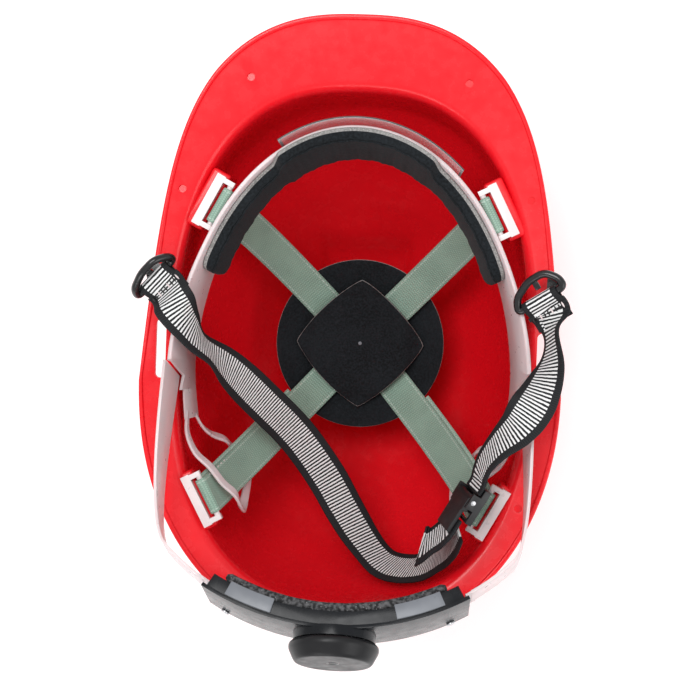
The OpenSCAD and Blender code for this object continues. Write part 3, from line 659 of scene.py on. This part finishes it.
def build_shell(around=288):
    lines = [shell_line(360 * i / around) for i in range(around)]
    m = len(lines[0])
    verts = [p for line in lines for p in line] + [vec(0, 0, CROWN_IN - CREST_H), vec(0, 0, 0)]
    low, high = around * m, around * m + 1
    faces = []
    for i in range(around):
        p, q = i * m, ((i + 1) % around) * m
        faces += [(low, p, q), (high, q + m - 1, p + m - 1)]
        faces += [(p + j, p + j + 1, q + j + 1, q + j) for j in range(m - 1)]
    shell = make_mesh("shell_moulding", verts, faces, [RED])
    for end, (_, _, back) in CLIPS.items():
        for side in SIDES.values():
            socket = box("socket", (-4, -16, -27), (back, 16, -0.8), at_clip(end, side), 1.5)
            boolean(shell, socket, "UNION")
    for end in CLIPS:
        for side in SIDES.values():
            pocket = box("pocket", (-1.4, -11.6, -24), (1.4, 11.6, 15), at_clip(end, side))
            boolean(shell, pocket, "DIFFERENCE")
            boolean(shell, box("seat", (-9, -14.5, -0.8), (2.7, 14.5, 8.2), at_clip(end, side), 0.8),
                    "DIFFERENCE")
    for side in SIDES.values():
        boolean(shell, slot_cutter(side), "DIFFERENCE")
    for b, inset in MOULD_MARKS:
        boolean(shell, mould_mark(b, inset), "DIFFERENCE")
    smooth_by_angle(shell, 32)
    finish_piece(shell, "helmet", "shell_plastic", "shell")


# ---- Ribbons of webbing ----
def ribbon_section(width, thick, cells=8, bend=5):
    """Points (u, h) round a flat ribbon with round edges, and whether each span lies on its back."""
    half, r = width / 2, thick / 2
    span = half - r
    pts = [(mix(-span, span, k / cells), r) for k in range(cells + 1)]
    pts += [(span + r * math.cos(a), r * math.sin(a)) for a in
            (math.pi / 2 - math.pi * k / bend for k in range(1, bend))]
    pts += [(mix(span, -span, k / cells), -r) for k in range(cells + 1)]
    pts += [(-span - r * math.cos(a), r * math.sin(a)) for a in
            (-math.pi / 2 + math.pi * k / bend for k in range(1, bend))]
    back = [False] * cells + [False] * bend + [True] * cells + [False] * bend
    return pts, back


def ribbon_frames(rows):
    frames = []
    for i, (c, across) in enumerate(rows):
        way = unit(rows[min(i + 1, len(rows) - 1)][0] - rows[max(i - 1, 0)][0])
        up = unit(np.cross(across, way))
        frames.append((c, unit(np.cross(way, up)), up))
    return frames


def ribbon(name, rows, width, thick, mats, shift=0.0, lift=0.0, ripple=0.0):
    """Webbing along rows of (centre, across); its UVs are in millimetres across and along."""
    section, back = ribbon_section(width, thick)
    cols = len(section)
    verts, along, s = [], [], 0.0
    frames = ribbon_frames(rows)
    for i, (c, side, up) in enumerate(frames):
        if i:
            s += np.linalg.norm(c - frames[i - 1][0])
        along.append(s)
        for u, h in section:
            wave = ripple * math.sin(s / 5.5 + u / 7) * (abs(u) / (width / 2)) ** 2
            verts.append(c + side * (u + shift) + up * (h + lift + wave))
    faces, uvs, picks = [], [], []
    for i in range(len(rows) - 1):
        for j in range(cols):
            a, c, k = i * cols, (i + 1) * cols, (j + 1) % cols
            faces.append((a + j, c + j, c + k, a + k))
            uj, uk = section[j][0], section[k][0]
            uvs.append(((uj, along[i]), (uj, along[i + 1]), (uk, along[i + 1]), (uk, along[i])))
            picks.append(1 if back[j] and len(mats) > 1 else 0)
    last = (len(rows) - 1) * cols
    faces += [tuple(range(cols)), tuple(last + j for j in reversed(range(cols)))]
    uvs += [tuple((section[j][0], 0.0) for j in range(cols)),
            tuple((section[j][0], s) for j in reversed(range(cols)))]
    picks += [0, 0]
    obj = make_mesh(name, verts, faces, mats, picks, uvs, angle=50)
    return obj, s


def outward_faces(obj):
    bm = bmesh.new()
    bm.from_mesh(obj.data)
    bmesh.ops.recalc_face_normals(bm, faces=bm.faces)
    bm.to_mesh(obj.data)
    bm.free()


# ---- Cradle ----
CRADLE_W = 19
CRADLE_T = 1.1
PAD_Z = 47
PAD_ROUND = 92
STRAP_STEP = 2.1
BAR_X, BAR_Z, BAR_R = -6.5, 1.2, 1.5
WRAP_R = BAR_R + CRADLE_T / 2 + 0.15


def leg_rows(end, side, z0, bends=24, spans=36):
    to_helmet = at_clip(end, side)
    bar = to_helmet(vec(BAR_X, 0, BAR_Z))
    out = to_helmet(vec(1, 0, 0)) - to_helmet(vec(0, 0, 0))
    along = to_helmet(vec(0, 1, 0)) - to_helmet(vec(0, 0, 0))
    # The mirror on the right has flipped the clip's Y axis already
    rear = end == "rear"
    along = along * (-side if rear else side)
    foot = bar - out * WRAP_R
    e = math.hypot(foot[0], foot[1])
    rise = bar[2] - z0
    half = 1 / math.sqrt((2 * rise * PAD_ROUND - e * e) / (rise * PAD_ROUND) ** 2)
    tall = half * half / PAD_ROUND
    top = math.asin(e / half)
    way = vec(foot[0], foot[1], 0) / e
    flat = np.cross(vec(0, 0, 1), way) * (-1 if rear else 1)
    rows = [(bar - out * WRAP_R * math.cos(f) + vec(0, 0, WRAP_R * math.sin(f)), along)
            for f in (math.radians(mix(180, 6, k / bends)) for k in range(bends + 1))]
    for k in range(spans, 0, -1):
        f = top * k / spans
        rows.append((way * half * math.sin(f) + vec(0, 0, z0 + tall * (1 - math.cos(f))),
                     unit(mix(flat, along, ramp(k / spans)))))
    return rows


def strap_rows(side, z0):
    front, rear = leg_rows("front", side, z0), leg_rows("rear", -side, z0)[::-1]
    return front + [(vec(0, 0, z0), unit(front[-1][1] + rear[0][1]))] + rear


def stitch(c, way, length, radius):
    pts = [c + way * length * (k / 4 - 0.5) for k in range(5)]
    size = [0.35, 0.85, 1.0, 0.85, 0.35]
    side = unit(np.cross(way, vec(0.2, 0.3, 0.93)))
    up = np.cross(way, side)
    spin = [2 * math.pi * k / 8 for k in range(8)]
    rings = [[p + radius * s * (side * math.cos(a) + up * math.sin(a)) for a in spin]
             for p, s in zip(pts, size)]
    return loft("stitch", rings, [THREAD], angle=80)


def build_cradle():
    stitches = []
    for name, side, z0 in (("cradle_strap_a", 1, PAD_Z), ("cradle_strap_b", -1, PAD_Z + STRAP_STEP)):
        rows = strap_rows(side, z0)
        strap, length = ribbon(name + "_webbing", rows, CRADLE_W, CRADLE_T, [GREEN], ripple=0.12)
        outward_faces(strap)
        finish_piece(strap, "helmet", "cradle_webbing", name)
        # The rear leg's end is folded back and sewn on behind it, a little to one side
        rear = leg_rows("rear", -side, z0)[24:50]
        frames = ribbon_frames(rear)
        c, across, up = frames[6]
        inward = 1 if up.dot(vec(0, 0, 139) - c) > 0 else -1
        sideways = 2.4 * (1 if across[1] < 0 else -1)
        under, under_length = ribbon(name + "_fold", rear, CRADLE_W - 0.6, 0.7, [GREEN_UNDER],
                                     shift=sideways, lift=-inward * 0.86)
        outward_faces(under)
        finish_piece(under, "helmet", "cradle_webbing")
        for k in range(3, 9):
            c, across, up = frames[k]
            way = unit(frames[k + 1][0] - frames[k - 1][0])
            edge = c + across * (8.6 if sideways > 0 else -8.6) + up * inward * (CRADLE_T / 2 + 0.05)
            stitches.append(stitch(edge, way, 1.7, 0.32))
    thread = join("cradle_stitches", stitches)
    finish_piece(thread, "helmet", "cradle_webbing")


def build_clips():
    for end in CLIPS:
        for side_name in SIDES:
            dressed(f"cradle_clip_{end}_{side_name}", CLIP, 0.45, 4)


# ---- Crown pad ----
LOBE_TOP = PAD_Z - 1.7
PAD_CENTRE = PAD_Z + PAD_ROUND
PAD_R = 47.5
BRIDGE_LOW = PAD_Z + 4
BRIDGE_R = 36


def dish_z(height, r):
    """Height at radius r of the dished surface that is at the given height in the middle."""
    big = PAD_CENTRE - height
    return PAD_CENTRE - math.sqrt(big * big - r * r)


def pad_layer(name, low, high, radius, mats, outline, lift, rim, rings=26, around=144):
    """A dished layer from low to high with a rounded rim; outline(angle) scales its radius."""
    verts, faces = [], []
    for surface in (high, low):
        for i in range(rings + 1):
            t = (i / rings) ** 0.8
            for j in range(around):
                a = 2 * math.pi * j / around
                r = radius * outline(a) * t
                x, y = r * math.cos(a), r * math.sin(a)
                past = max(0.0, (r - radius * outline(a) + rim) / rim)
                drop = rim * (1 - math.sqrt(max(0.0, 1 - past ** 2)))
                z = dish_z(surface, r) + lift(x, y) + (-drop if surface == high else drop * 0.6)
                verts.append(vec(x, y, z))
    layer = (rings + 1) * around
    for s in (0, 1):
        for i in range(rings):
            for j in range(around):
                k = (j + 1) % around
                a, b = s * layer + i * around, s * layer + (i + 1) * around
                quad = (a + j, b + j, b + k, a + k)
                faces.append(quad if s == 0 else quad[::-1])
    edge = rings * around
    faces += [(edge + j, layer + edge + j, layer + edge + (j + 1) % around, edge + (j + 1) % around)
              for j in range(around)]
    obj = make_mesh(name, verts, faces, mats, angle=50)
    bm = bmesh.new()
    bm.from_mesh(obj.data)
    bmesh.ops.remove_doubles(bm, verts=bm.verts, dist=1e-7)
    bmesh.ops.recalc_face_normals(bm, faces=bm.faces)
    bm.to_mesh(obj.data)
    bm.free()
    return smooth_by_angle(obj, 50)


def build_crown_pad():
    def disc(a):
        return 1.0

    def diamond(a):
        c, s = abs(math.cos(a)), abs(math.sin(a))
        return 1 / (c ** 1.22 + s ** 1.22) ** (1 / 1.22)

    def uneven(x, y):
        return 0.25 * math.sin(x / 9) * math.cos(y / 11)

    # The middle of the pad stands over the two straps and comes down to the disc at its corners
    def bridge(x, y):
        return uneven(x, y) - (BRIDGE_LOW - LOBE_TOP) * ramp((max(abs(x), abs(y)) - 23.5) / 11)

    foam = pad_layer("crown_pad_disc_foam", LOBE_TOP - 3.6, LOBE_TOP - 0.8, PAD_R, [FOAM], disc, uneven, 1.2)
    bridge_foam = pad_layer("crown_pad_bridge_foam", BRIDGE_LOW, BRIDGE_LOW + 2.4, BRIDGE_R, [FOAM], diamond,
                            bridge, 0.9)
    foam = join("crown_pad_disc_foam", [foam, bridge_foam])
    finish_piece(foam, "helmet", "grey_foam", "crown_pad_foam")
    cover = pad_layer("crown_pad_disc_cloth", LOBE_TOP - 0.8, LOBE_TOP, PAD_R - 0.3, [CLOTH],
                      disc, uneven, 0.6)
    finish_piece(cover, "helmet", "black_cloth", "crown_pad_cover")
    top = pad_layer("crown_pad_bridge_cloth", BRIDGE_LOW + 2.4, BRIDGE_LOW + 3.2, BRIDGE_R - 0.4, [CLOTH],
                    diamond, bridge, 0.6)
    finish_piece(top, "helmet", "black_cloth")
    eyelet = lathe("crown_pad_dot", [(0, 0.0), (0.9, 0.0), (1.0, 0.25), (0.6, 0.45), (0, 0.5)],
                   lambda v: v + vec(0, 0, BRIDGE_LOW + 3.2), [TAB], 24)
    finish_piece(eyelet, "helmet", "black_cloth")


# ---- Headband ----
BAND_CY = 20
BAND_W, BAND_REACH = 88, 131
BAND_LOW, BAND_HIGH = 122, 150
BAND_T = 1.4
SPLAY = 0.2


def band_at(b, off, z):
    lean = off + (z - BAND_HIGH + 7) * SPLAY
    p = oval(b, BAND_W + lean, BAND_REACH + lean, 2)
    return vec(p[0], p[1] + BAND_CY, z)


def edge_high(b):
    return BAND_HIGH + 7 * ramp((BAND_REACH * math.sin(math.radians(b)) + 75) / 60)


def band_section(low, high):
    """Points (offset, z) round the band's wall, with a rolled lip along its upper edge."""
    t = BAND_T / 2
    return [(-t, low + 0.5), (-t, (low + high) / 2), (-t, high - 0.6), (-t * 0.4, high - 0.05),
            (t, high), (t + 0.7, high - 0.15), (t + 1.0, high - 0.6), (t + 0.95, high - 1.5),
            (t + 0.55, high - 2.0), (t, high - 2.4), (t, (low + high) / 2), (t, low + 0.5),
            (t * 0.5, low), (-t * 0.5, low)]


# Loop that hangs from the band and guides the rear leg of the cradle: place and direction across
GUIDE_W, GUIDE_T = 5.5, 1.6
GUIDE_ROUTE = [
    (85.0, 36, 131, 0, 0, 1), (84.1, 47, 133, 0.1, 0.1, 1), (79, 57, 135, 0.2, 0.2, 0.95),
    (70.6, 64.2, 136.4, 0.25, 0.28, 0.93), (64.2, 72.2, 135, 0.25, 0.28, 0.93),
    (57.8, 78.5, 131.6, 0, 0.5, 0.86),
    (55.8, 86.5, 123.5, -0.6, 0.65, 0.45), (56.2, 87.5, 113, -0.74, 0.67, 0),
    (56, 81.5, 104, -0.6, 0.5, -0.6),
    (55.6, 73.9, 97.2, -0.3, 0, -0.93), (57.4, 64.6, 93.8, -0.2, -0.25, -0.93),
    (65.6, 57.7, 94, 0.2, -0.5, -0.83), (69, 53, 100, 0.5, -0.6, -0.6), (75, 50, 107, 0.6, -0.6, -0.5),
    (79.5, 45, 114.5, 0.5, -0.5, -0.7), (82.6, 38, 120, 0.1, -0.1, -1)]


def finger_low(b):
    return BAND_LOW + 0.3 - 6 * ramp((b + 8) / 20)


def finger_high(b):
    return 137 - 2 * ramp((b + 6) / 18)


def build_headband():
    rings = [[band_at(b, off, z) for off, z in band_section(BAND_LOW, edge_high(b))]
             for b in np.arange(2, -182.1, -1.0)]
    band = loft("headband_strip", rings, [BAND], angle=45)
    for side in SIDES.values():
        # The band stops a hair short of each arm, along the plane of the nape's frame
        cutter = box("cut", (side * 91 - 14, -125 - 0.35, 11), (side * 91 + 14, -60, 61), from_nape)
        boolean(band, cutter, "DIFFERENCE")
    smooth_by_angle(band, 40)
    finish_piece(band, "helmet", "band_plastic", "headband")
    for side_name, side in SIDES.items():
        mirror = vec(side, 1, 1)
        lift = STRAP_STEP * 0.8 if side > 0 else 0
        rows = [((p[:3] + vec(0, 0, lift * ramp((p[1] - 38) / 12))) * mirror, unit(p[3:]) * mirror)
                for p in smooth_rows(GUIDE_ROUTE, 8)]
        bars, _ = ribbon("guide_bars", rows, GUIDE_W, GUIDE_T, [BAND])
        outward_faces(bars)
        finger = []
        for b in np.arange(9, -11.1, -0.5):
            low, high = finger_low(b), finger_high(b)
            finger.append([band_at(b, off, z) * mirror for off, z in
                           ((0.6, high - 0.4), (0.3, high), (-0.3, high), (-0.6, high - 0.4),
                            (-0.6, low + 0.4), (-0.3, low), (0.3, low), (0.6, low + 0.4))])
        guide = join(f"strap_guide_{side_name}", [bars, loft("guide_finger", finger, [BAND], angle=45)])
        finish_piece(guide, "helmet", "band_plastic")


# ---- Nape adjuster ----
NAPE_POS = vec(0, 135.5, 180)
NAPE_TILT = 25
NAPE_R = 125
KNOB_R = 22.3
KNOB_Y = 8.1
KNOB_DEPTH = 10


def from_nape(v):
    return NAPE_POS + turn_x(v, NAPE_TILT)


def nape_arc(r, a, z):
    a = math.radians(a)
    return from_nape(vec(r * math.sin(a), r * math.cos(a) - NAPE_R, z))


def build_nape():
    dressed("nape_housing", GLOSS, 0.45, 4)
    dressed("nape_cover", GLOSS, 0.7, 5)
    dressed("housing_screws", STEEL, 0.2, 2)
    dressed("detent_ring", WHITE, 0.0)
    for side_name in SIDES:
        dressed(f"keeper_{side_name}", TAB, 0.35, 3)
    low, high = 116.1, 120.9
    rings = []
    for k in range(61):
        a = mix(-27, 27, k / 60)
        end = math.sqrt(max(0.0, 1 - max(0.0, (abs(a) - 25.6) / 1.4) ** 2))
        half, mid, r = 15.9, (low + high) / 2, 1.9
        thick = (high - low) / 2 * mix(0.55, 1, end)
        puff = 0.25 * math.cos(a * 0.9)
        tall = half * mix(0.96, 1, end)
        section = round_corners([(mid - thick, -tall), (mid + thick, -tall),
                                 (mid + thick, tall), (mid - thick, tall)],
                                r, 5)
        rings.append([nape_arc(rad - (puff * (1 - (z / half) ** 2) if rad < mid else 0), a, z)
                      for rad, z in section])
    pad = loft("nape_pad", rings, [SPECKLED], angle=50)
    finish_piece(pad, "nape_unit", "nape_foam", "nape_foam_pad")


def build_knob():
    def to_knob(v):
        return from_nape(vec(v[0], v[2], v[1]))
    d = KNOB_DEPTH
    outline = [(0, 0), (KNOB_R - 1.4, 0), (KNOB_R, 1.4), (KNOB_R, 3.6), (KNOB_R - 2.6, d - 1.2),
               (KNOB_R - 3.8, d), (0, d - 0.3)]
    profile = [(p[0], KNOB_Y + p[1]) for p in round_corners([vec(*p) for p in outline], 1.1, 6, closed=False)]
    profile += [(0.0, KNOB_Y + d - 0.3)]
    knob = lathe("knob_turning", profile[:-1], to_knob, [KNOB_BLACK], 160)
    finish_piece(knob, "knob", "black_gloss", "knob", "knob_screw")
    # A thin moulded ring in the middle of its face
    mark = lathe("knob_mark", [(1.9, KNOB_Y + d - 0.25), (2.5, KNOB_Y + d - 0.05), (3.1, KNOB_Y + d - 0.25)],
                 to_knob, [RING_BLACK], 48)
    finish_piece(mark, "knob", "black_gloss")
    for node, mat in (("pinion_shaft", WHITE), ("ratchet_spring", WHITE)):
        dressed(node, mat, 0.0)


def build_arms():
    for side_name in SIDES:
        dressed(f"arm_{side_name}", BAND, 0.25, 2)


# ---- Brow pad and label ----
def brow_high(b):
    return 147 + 9 * ramp((30 - abs(b + 90)) / 4)


def brow_low(b):
    return 126 - 4 * ramp((30 - abs(b + 90)) / 4)


# The cloth is folded over the pad's edges as far as this offset, and bare foam shows behind it
BROW_FOLD = -3.3


def brow_section(inner, outer, low, high, radius):
    return round_corners([(outer, high), (inner, high), (inner, low), (outer, low)], radius, 5)


def cushion_section(inner, low, high):
    return round_corners([(-0.9, high), (BROW_FOLD, high), (inner, high), (inner, low), (BROW_FOLD, low),
                          (-0.9, low)], 1.6, 5)


def cushion_face(i, j):
    """Each corner of the section has six points: from the upper fold to the lower one it is cloth."""
    return 1 if 8 <= j <= 26 else 0


def build_brow_pad():
    foam_rings, cloth_rings, length = [], [], 0.0
    spans = np.arange(-27, -153.1, -0.75)
    for b in spans:
        end = math.sqrt(max(0.0, 1 - max(0.0, (abs(b + 90) - 59.5) / 3.5) ** 2))
        high = brow_high(b) - 5 * (1 - end)
        low = brow_low(b) + 5 * (1 - end)
        swell = 0.18 * math.sin(b * 0.9) + 0.12 * math.sin(b * 2.3)
        foam_rings.append([band_at(b, off, z) for off, z in
                           cushion_section(mix(-5.2, -7.4, end) + swell, low, high)])
        inner, outer = mix(-6.1, -8.3, end) + swell, mix(-5.3, -7.5, end) + swell
        cloth_rings.append([band_at(b, off, z) for off, z in
                            brow_section(inner, outer, low + 0.5, high - 0.5, 0.38)])
    for a, c in zip(spans, spans[1:]):
        length += np.linalg.norm(band_at(c, -8, 140) - band_at(a, -8, 140))
    foam = loft("brow_pad_cushion", foam_rings, [FOAM, CLOTH], face_mat=cushion_face, angle=50)
    finish_piece(foam, "helmet", "grey_foam", "brow_pad_foam")
    cloth = loft("brow_pad_cloth", cloth_rings, [CLOTH], angle=50)
    finish_piece(cloth, "helmet", "black_cloth", "brow_pad_cover")


def build_label():
    def at_label(v):
        """Takes (angle from the middle, height, thickness) to the helmet, in front of the band."""
        return band_at(v[0] - 95, 3.6 + v[2], 143 + v[1])

    def grid(name, x0, x1, y0, y1, thick, off, mat):
        back, front = off - thick / 2, off + thick / 2
        corners = ((y0, back), (y1, back), (y1, front), (y0, front))
        rings = [[at_label(vec(mix(x0, x1, k / 40), y, z)) for y, z in corners] for k in range(41)]
        return loft(name, rings, [mat], angle=45)

    film = grid("label_sheet", -30, 30, -12.4, 12.8, 0.35, 0.0, FILM)
    finish_piece(film, "helmet", "label_film", "info_label")
    edges = [(-30, 30, 11.4, 13), (-30, 30, -13, -11.4), (-30, -29.2, -12, 12), (29.2, 30, -12, 12)]
    rails = [grid("rail", *edge, 0.45, 0.45, BORDER) for edge in edges]
    border = join("label_border", rails)
    finish_piece(border, "helmet", "black_print", "label_frame")


# ---- Chin strap ----
CHIN_W, CHIN_T = 22, 1.3
RING_BAR_R, RING_R = 1.8, 2.0
LOOP_OUT = RING_BAR_R + 0.08 + CHIN_T
HOOKS = {"left": (vec(99, -33, 158), -60, 9, 47), "right": (vec(-95, -29.5, 161), 0, 20, 33.7)}
RING_PTS = [(-13.6, 0), (-13.6, -5), (-8.5, -11), (1, -11), (10.5, -6.5), (13.6, 0)]
LONG_ROUTE = [
    (88, -20, 163, 0.66, 0.68, 0.20), (81, -9, 158, 0.40, 0.40, 0.80), (74, 2, 146, 0.12, 0.12, 0.98),
    (62, 15, 128, 0.50, 0.42, 0.76), (48, 31, 108, 0.74, 0.52, 0.42), (31, 50, 91, 0.80, 0.56, 0.20),
    (15, 72, 84, 0.84, 0.52, 0.16), (3, 91, 86, 0.76, 0.52, 0.38), (-8, 106, 92, 0.55, 0.52, 0.66),
    (-19, 116, 100, 0.28, 0.50, 0.82), (-31, 117, 112, 0.00, 0.40, 0.91),
    (-42, 112.5, 124, -0.16, 0.26, 0.95),
    (-50, 104, 136, -0.22, 0.20, 0.95), (-55, 95.5, 149, -0.26, 0.17, 0.95),
    (-57.5, 87.8, 158.6, -0.27, 0.16, 0.95)]
SHORT_ROUTE = [
    (-100.6, -14, 163, 0.28, 0.10, -0.95), (-101, -3, 166, 0.34, 0.00, -0.94),
    (-99, 7, 170, 0.62, -0.14, -0.77),
    (-95.7, 16, 173, 0.82, -0.26, -0.50), (-91.5, 24, 175, 0.88, -0.44, -0.14),
    (-85.5, 33, 175, 0.66, -0.50, -0.56),
    (-77, 42, 172, 0.40, -0.36, -0.84), (-71.5, 50, 167, 0.30, -0.20, -0.93),
    (-68.6, 57.5, 163, 0.27, -0.16, -0.95)]
TAIL_ROUTE = [
    (-48, 92, 158, -0.30, 0.14, 0.94), (-42.5, 97, 154.5, -0.36, 0.16, 0.92),
    (-40.5, 98, 152, -0.40, 0.20, 0.89)]
BUCKLE_POS = vec(-62.9, 74.9, 161.5)
BUCKLE_TURN, BUCKLE_ROLL = 240, -72


def hook_vec(side_name, v, swing=False):
    _, lift, lean, turn = HOOKS[side_name]
    return turn_z(turn_y(turn_x(v, lift) if swing else v, lean), turn)


def hook_row(side_name, far):
    return np.concatenate([HOOKS[side_name][0] + hook_vec(side_name, vec(0, far, 0)),
                           hook_vec(side_name, vec(1, 0, 0))])


def buckle_vec(v):
    return turn_z(turn_x(v, BUCKLE_ROLL), BUCKLE_TURN)


def buckle_row(v, side):
    return np.concatenate([BUCKLE_POS + buckle_vec(v), buckle_vec(vec(0, -side, 0))])


def chin_rows(points, steps=12):
    return [(p[:3], unit(p[3:])) for p in smooth_rows(points, steps)]


def build_loop(side_name):
    """The strap's end, which wraps the ring's bar and is sewn back under the strap."""
    centre = HOOKS[side_name][0]
    r = LOOP_OUT - CHIN_T / 2
    path = [(14, -1.36), (10, -1.36), (6.2, -1.38), (4.4, -1.6), (3.2, -1.95)]
    path += [(r * math.cos(a), -r * math.sin(a)) for a in (math.radians(d) for d in range(60, 301, 15))]
    path += [(2.6, 1.6), (3.8, 0.7), (4.8, 0.18)]
    rows = [(centre + hook_vec(side_name, vec(0, f, g)), hook_vec(side_name, vec(1, 0, 0)))
            for f, g in smooth_rows(path, 2)]
    loop, length = ribbon(f"chin_loop_{side_name}_webbing", rows, CHIN_W - 2, CHIN_T - 0.1, [STRIPED])
    outward_faces(loop)
    finish_piece(loop, "helmet", "chin_webbing", f"chin_loop_{side_name}")
    # A bar tack of close stitches holds the fold
    tacks = []
    for k in range(9):
        u = mix(-8.6, 8.6, k / 8)
        c = centre + hook_vec(side_name, vec(u, 7.4, CHIN_T / 2 + 0.12))
        tacks.append(stitch(c, hook_vec(side_name, vec(0, 1, 0)), 3.2, 0.45))
        tacks[-1].data.materials[0] = MATTE if k % 3 else THREAD
    finish_piece(join(f"bar_tack_{side_name}", tacks), "helmet", "chin_webbing")


def build_ring(side_name):
    centre = HOOKS[side_name][0]
    corners = [centre + hook_vec(side_name, vec(x, y, 0), True) for x, y in RING_PTS]
    rod = tube(f"chin_ring_{side_name}_rod", round_corners(corners, 3.2, 7), RING_R, [RING_BLACK],
               closed=True, sides=24)

    def to_tooth(v):
        return centre + hook_vec(side_name, v, True)

    tooth = box("tooth", (-3.4, -9.8, -0.9), (-0.4, -5.1, 0.9), to_tooth, 0.5, [RING_BLACK])
    ring = join(f"chin_ring_{side_name}_rod", [rod, tooth])
    finish_piece(ring, f"ring_{side_name}", "ring_plastic", f"chin_ring_{side_name}")


def build_chin_strap():
    straps = {
        "chin_strap_long": ([hook_row("left", LOOP_OUT + 1.3), hook_row("left", LOOP_OUT + 5.5)]
                            + [vec(*p) for p in LONG_ROUTE] + [buckle_row(vec(-11.2, 0, -0.9), 1)], 1),
        "chin_strap_short": ([hook_row("right", LOOP_OUT + 1.3), hook_row("right", LOOP_OUT + 5.5)]
                             + [vec(*p) for p in SHORT_ROUTE]
                             + [buckle_row(vec(12.6, 0, 2.1), -1), buckle_row(vec(8.5, 0, 2.1), -1)], 2),
        "chin_strap_tail": ([buckle_row(vec(-7.4, 0, 2.9), 1), buckle_row(vec(-15, 0, 2.9), 1)]
                            + [vec(*p) for p in TAIL_ROUTE], 2)}
    for name, (points, faces) in straps.items():
        mats = [STRIPED, STRIPED_BACK] if faces == 1 else [STRIPED]
        strap, length = ribbon(name + "_webbing", chin_rows(points), CHIN_W, CHIN_T, mats, ripple=0.1)
        outward_faces(strap)
        finish_piece(strap, "helmet", "chin_webbing", name)
    for side_name in SIDES:
        build_loop(side_name)
        build_ring(side_name)
        dressed(f"chin_anchor_{side_name}", RING_BLACK, 0.5, 4)
    dressed("buckle_frame", MATTE, 0.5, 3)
    dressed("buckle_pin", STEEL, 0.25, 2)
    dressed("cam_lever", MATTE, 0.7, 4)


# ---- Floor and lights ----
def add_stage():
    half = 3000
    floor = make_mesh("floor", [(-half, -half, 0), (half, -half, 0), (half, half, 0), (-half, half, 0)],
                      [(0, 1, 2, 3)], [floor_material()])
    world = bpy.data.worlds.new("studio")
    world.use_nodes = True
    world.node_tree.nodes["Background"].inputs[0].default_value = (1, 1, 1, 1)
    world.node_tree.nodes["Background"].inputs[1].default_value = 0.74
    bpy.context.scene.world = world
    # Plain display colours, so that the red and the blacks keep their strength
    bpy.context.scene.view_settings.view_transform = "Standard"


def add_light(name, pos, aim, size, watts):
    data = bpy.data.lights.new(name, "AREA")
    data.shape = "RECTANGLE"
    data.size, data.size_y = size
    data.energy = watts
    light = link(bpy.data.objects.new(name, data))
    light.location = Vector(pos)
    light.rotation_euler = (Vector(aim) - Vector(pos)).to_track_quat("-Z", "Y").to_euler()


def add_lights():
    add_light("key", (0.3, -0.45, 1.6), (0, 0, 0.05), (0.9, 0.6), 13)
    add_light("fill", (-1.2, 0.4, 1.2), (0, 0, 0.1), (1.2, 0.9), 7)
    add_light("rear", (0.5, 1.4, 1.1), (0, 0, 0.12), (1.0, 0.5), 6)


add_camera()
add_stage()
add_lights()
build_shell()
build_clips()
build_cradle()
build_crown_pad()
build_headband()
build_arms()
build_nape()
build_knob()
build_brow_pad()
build_label()
build_chin_strap()
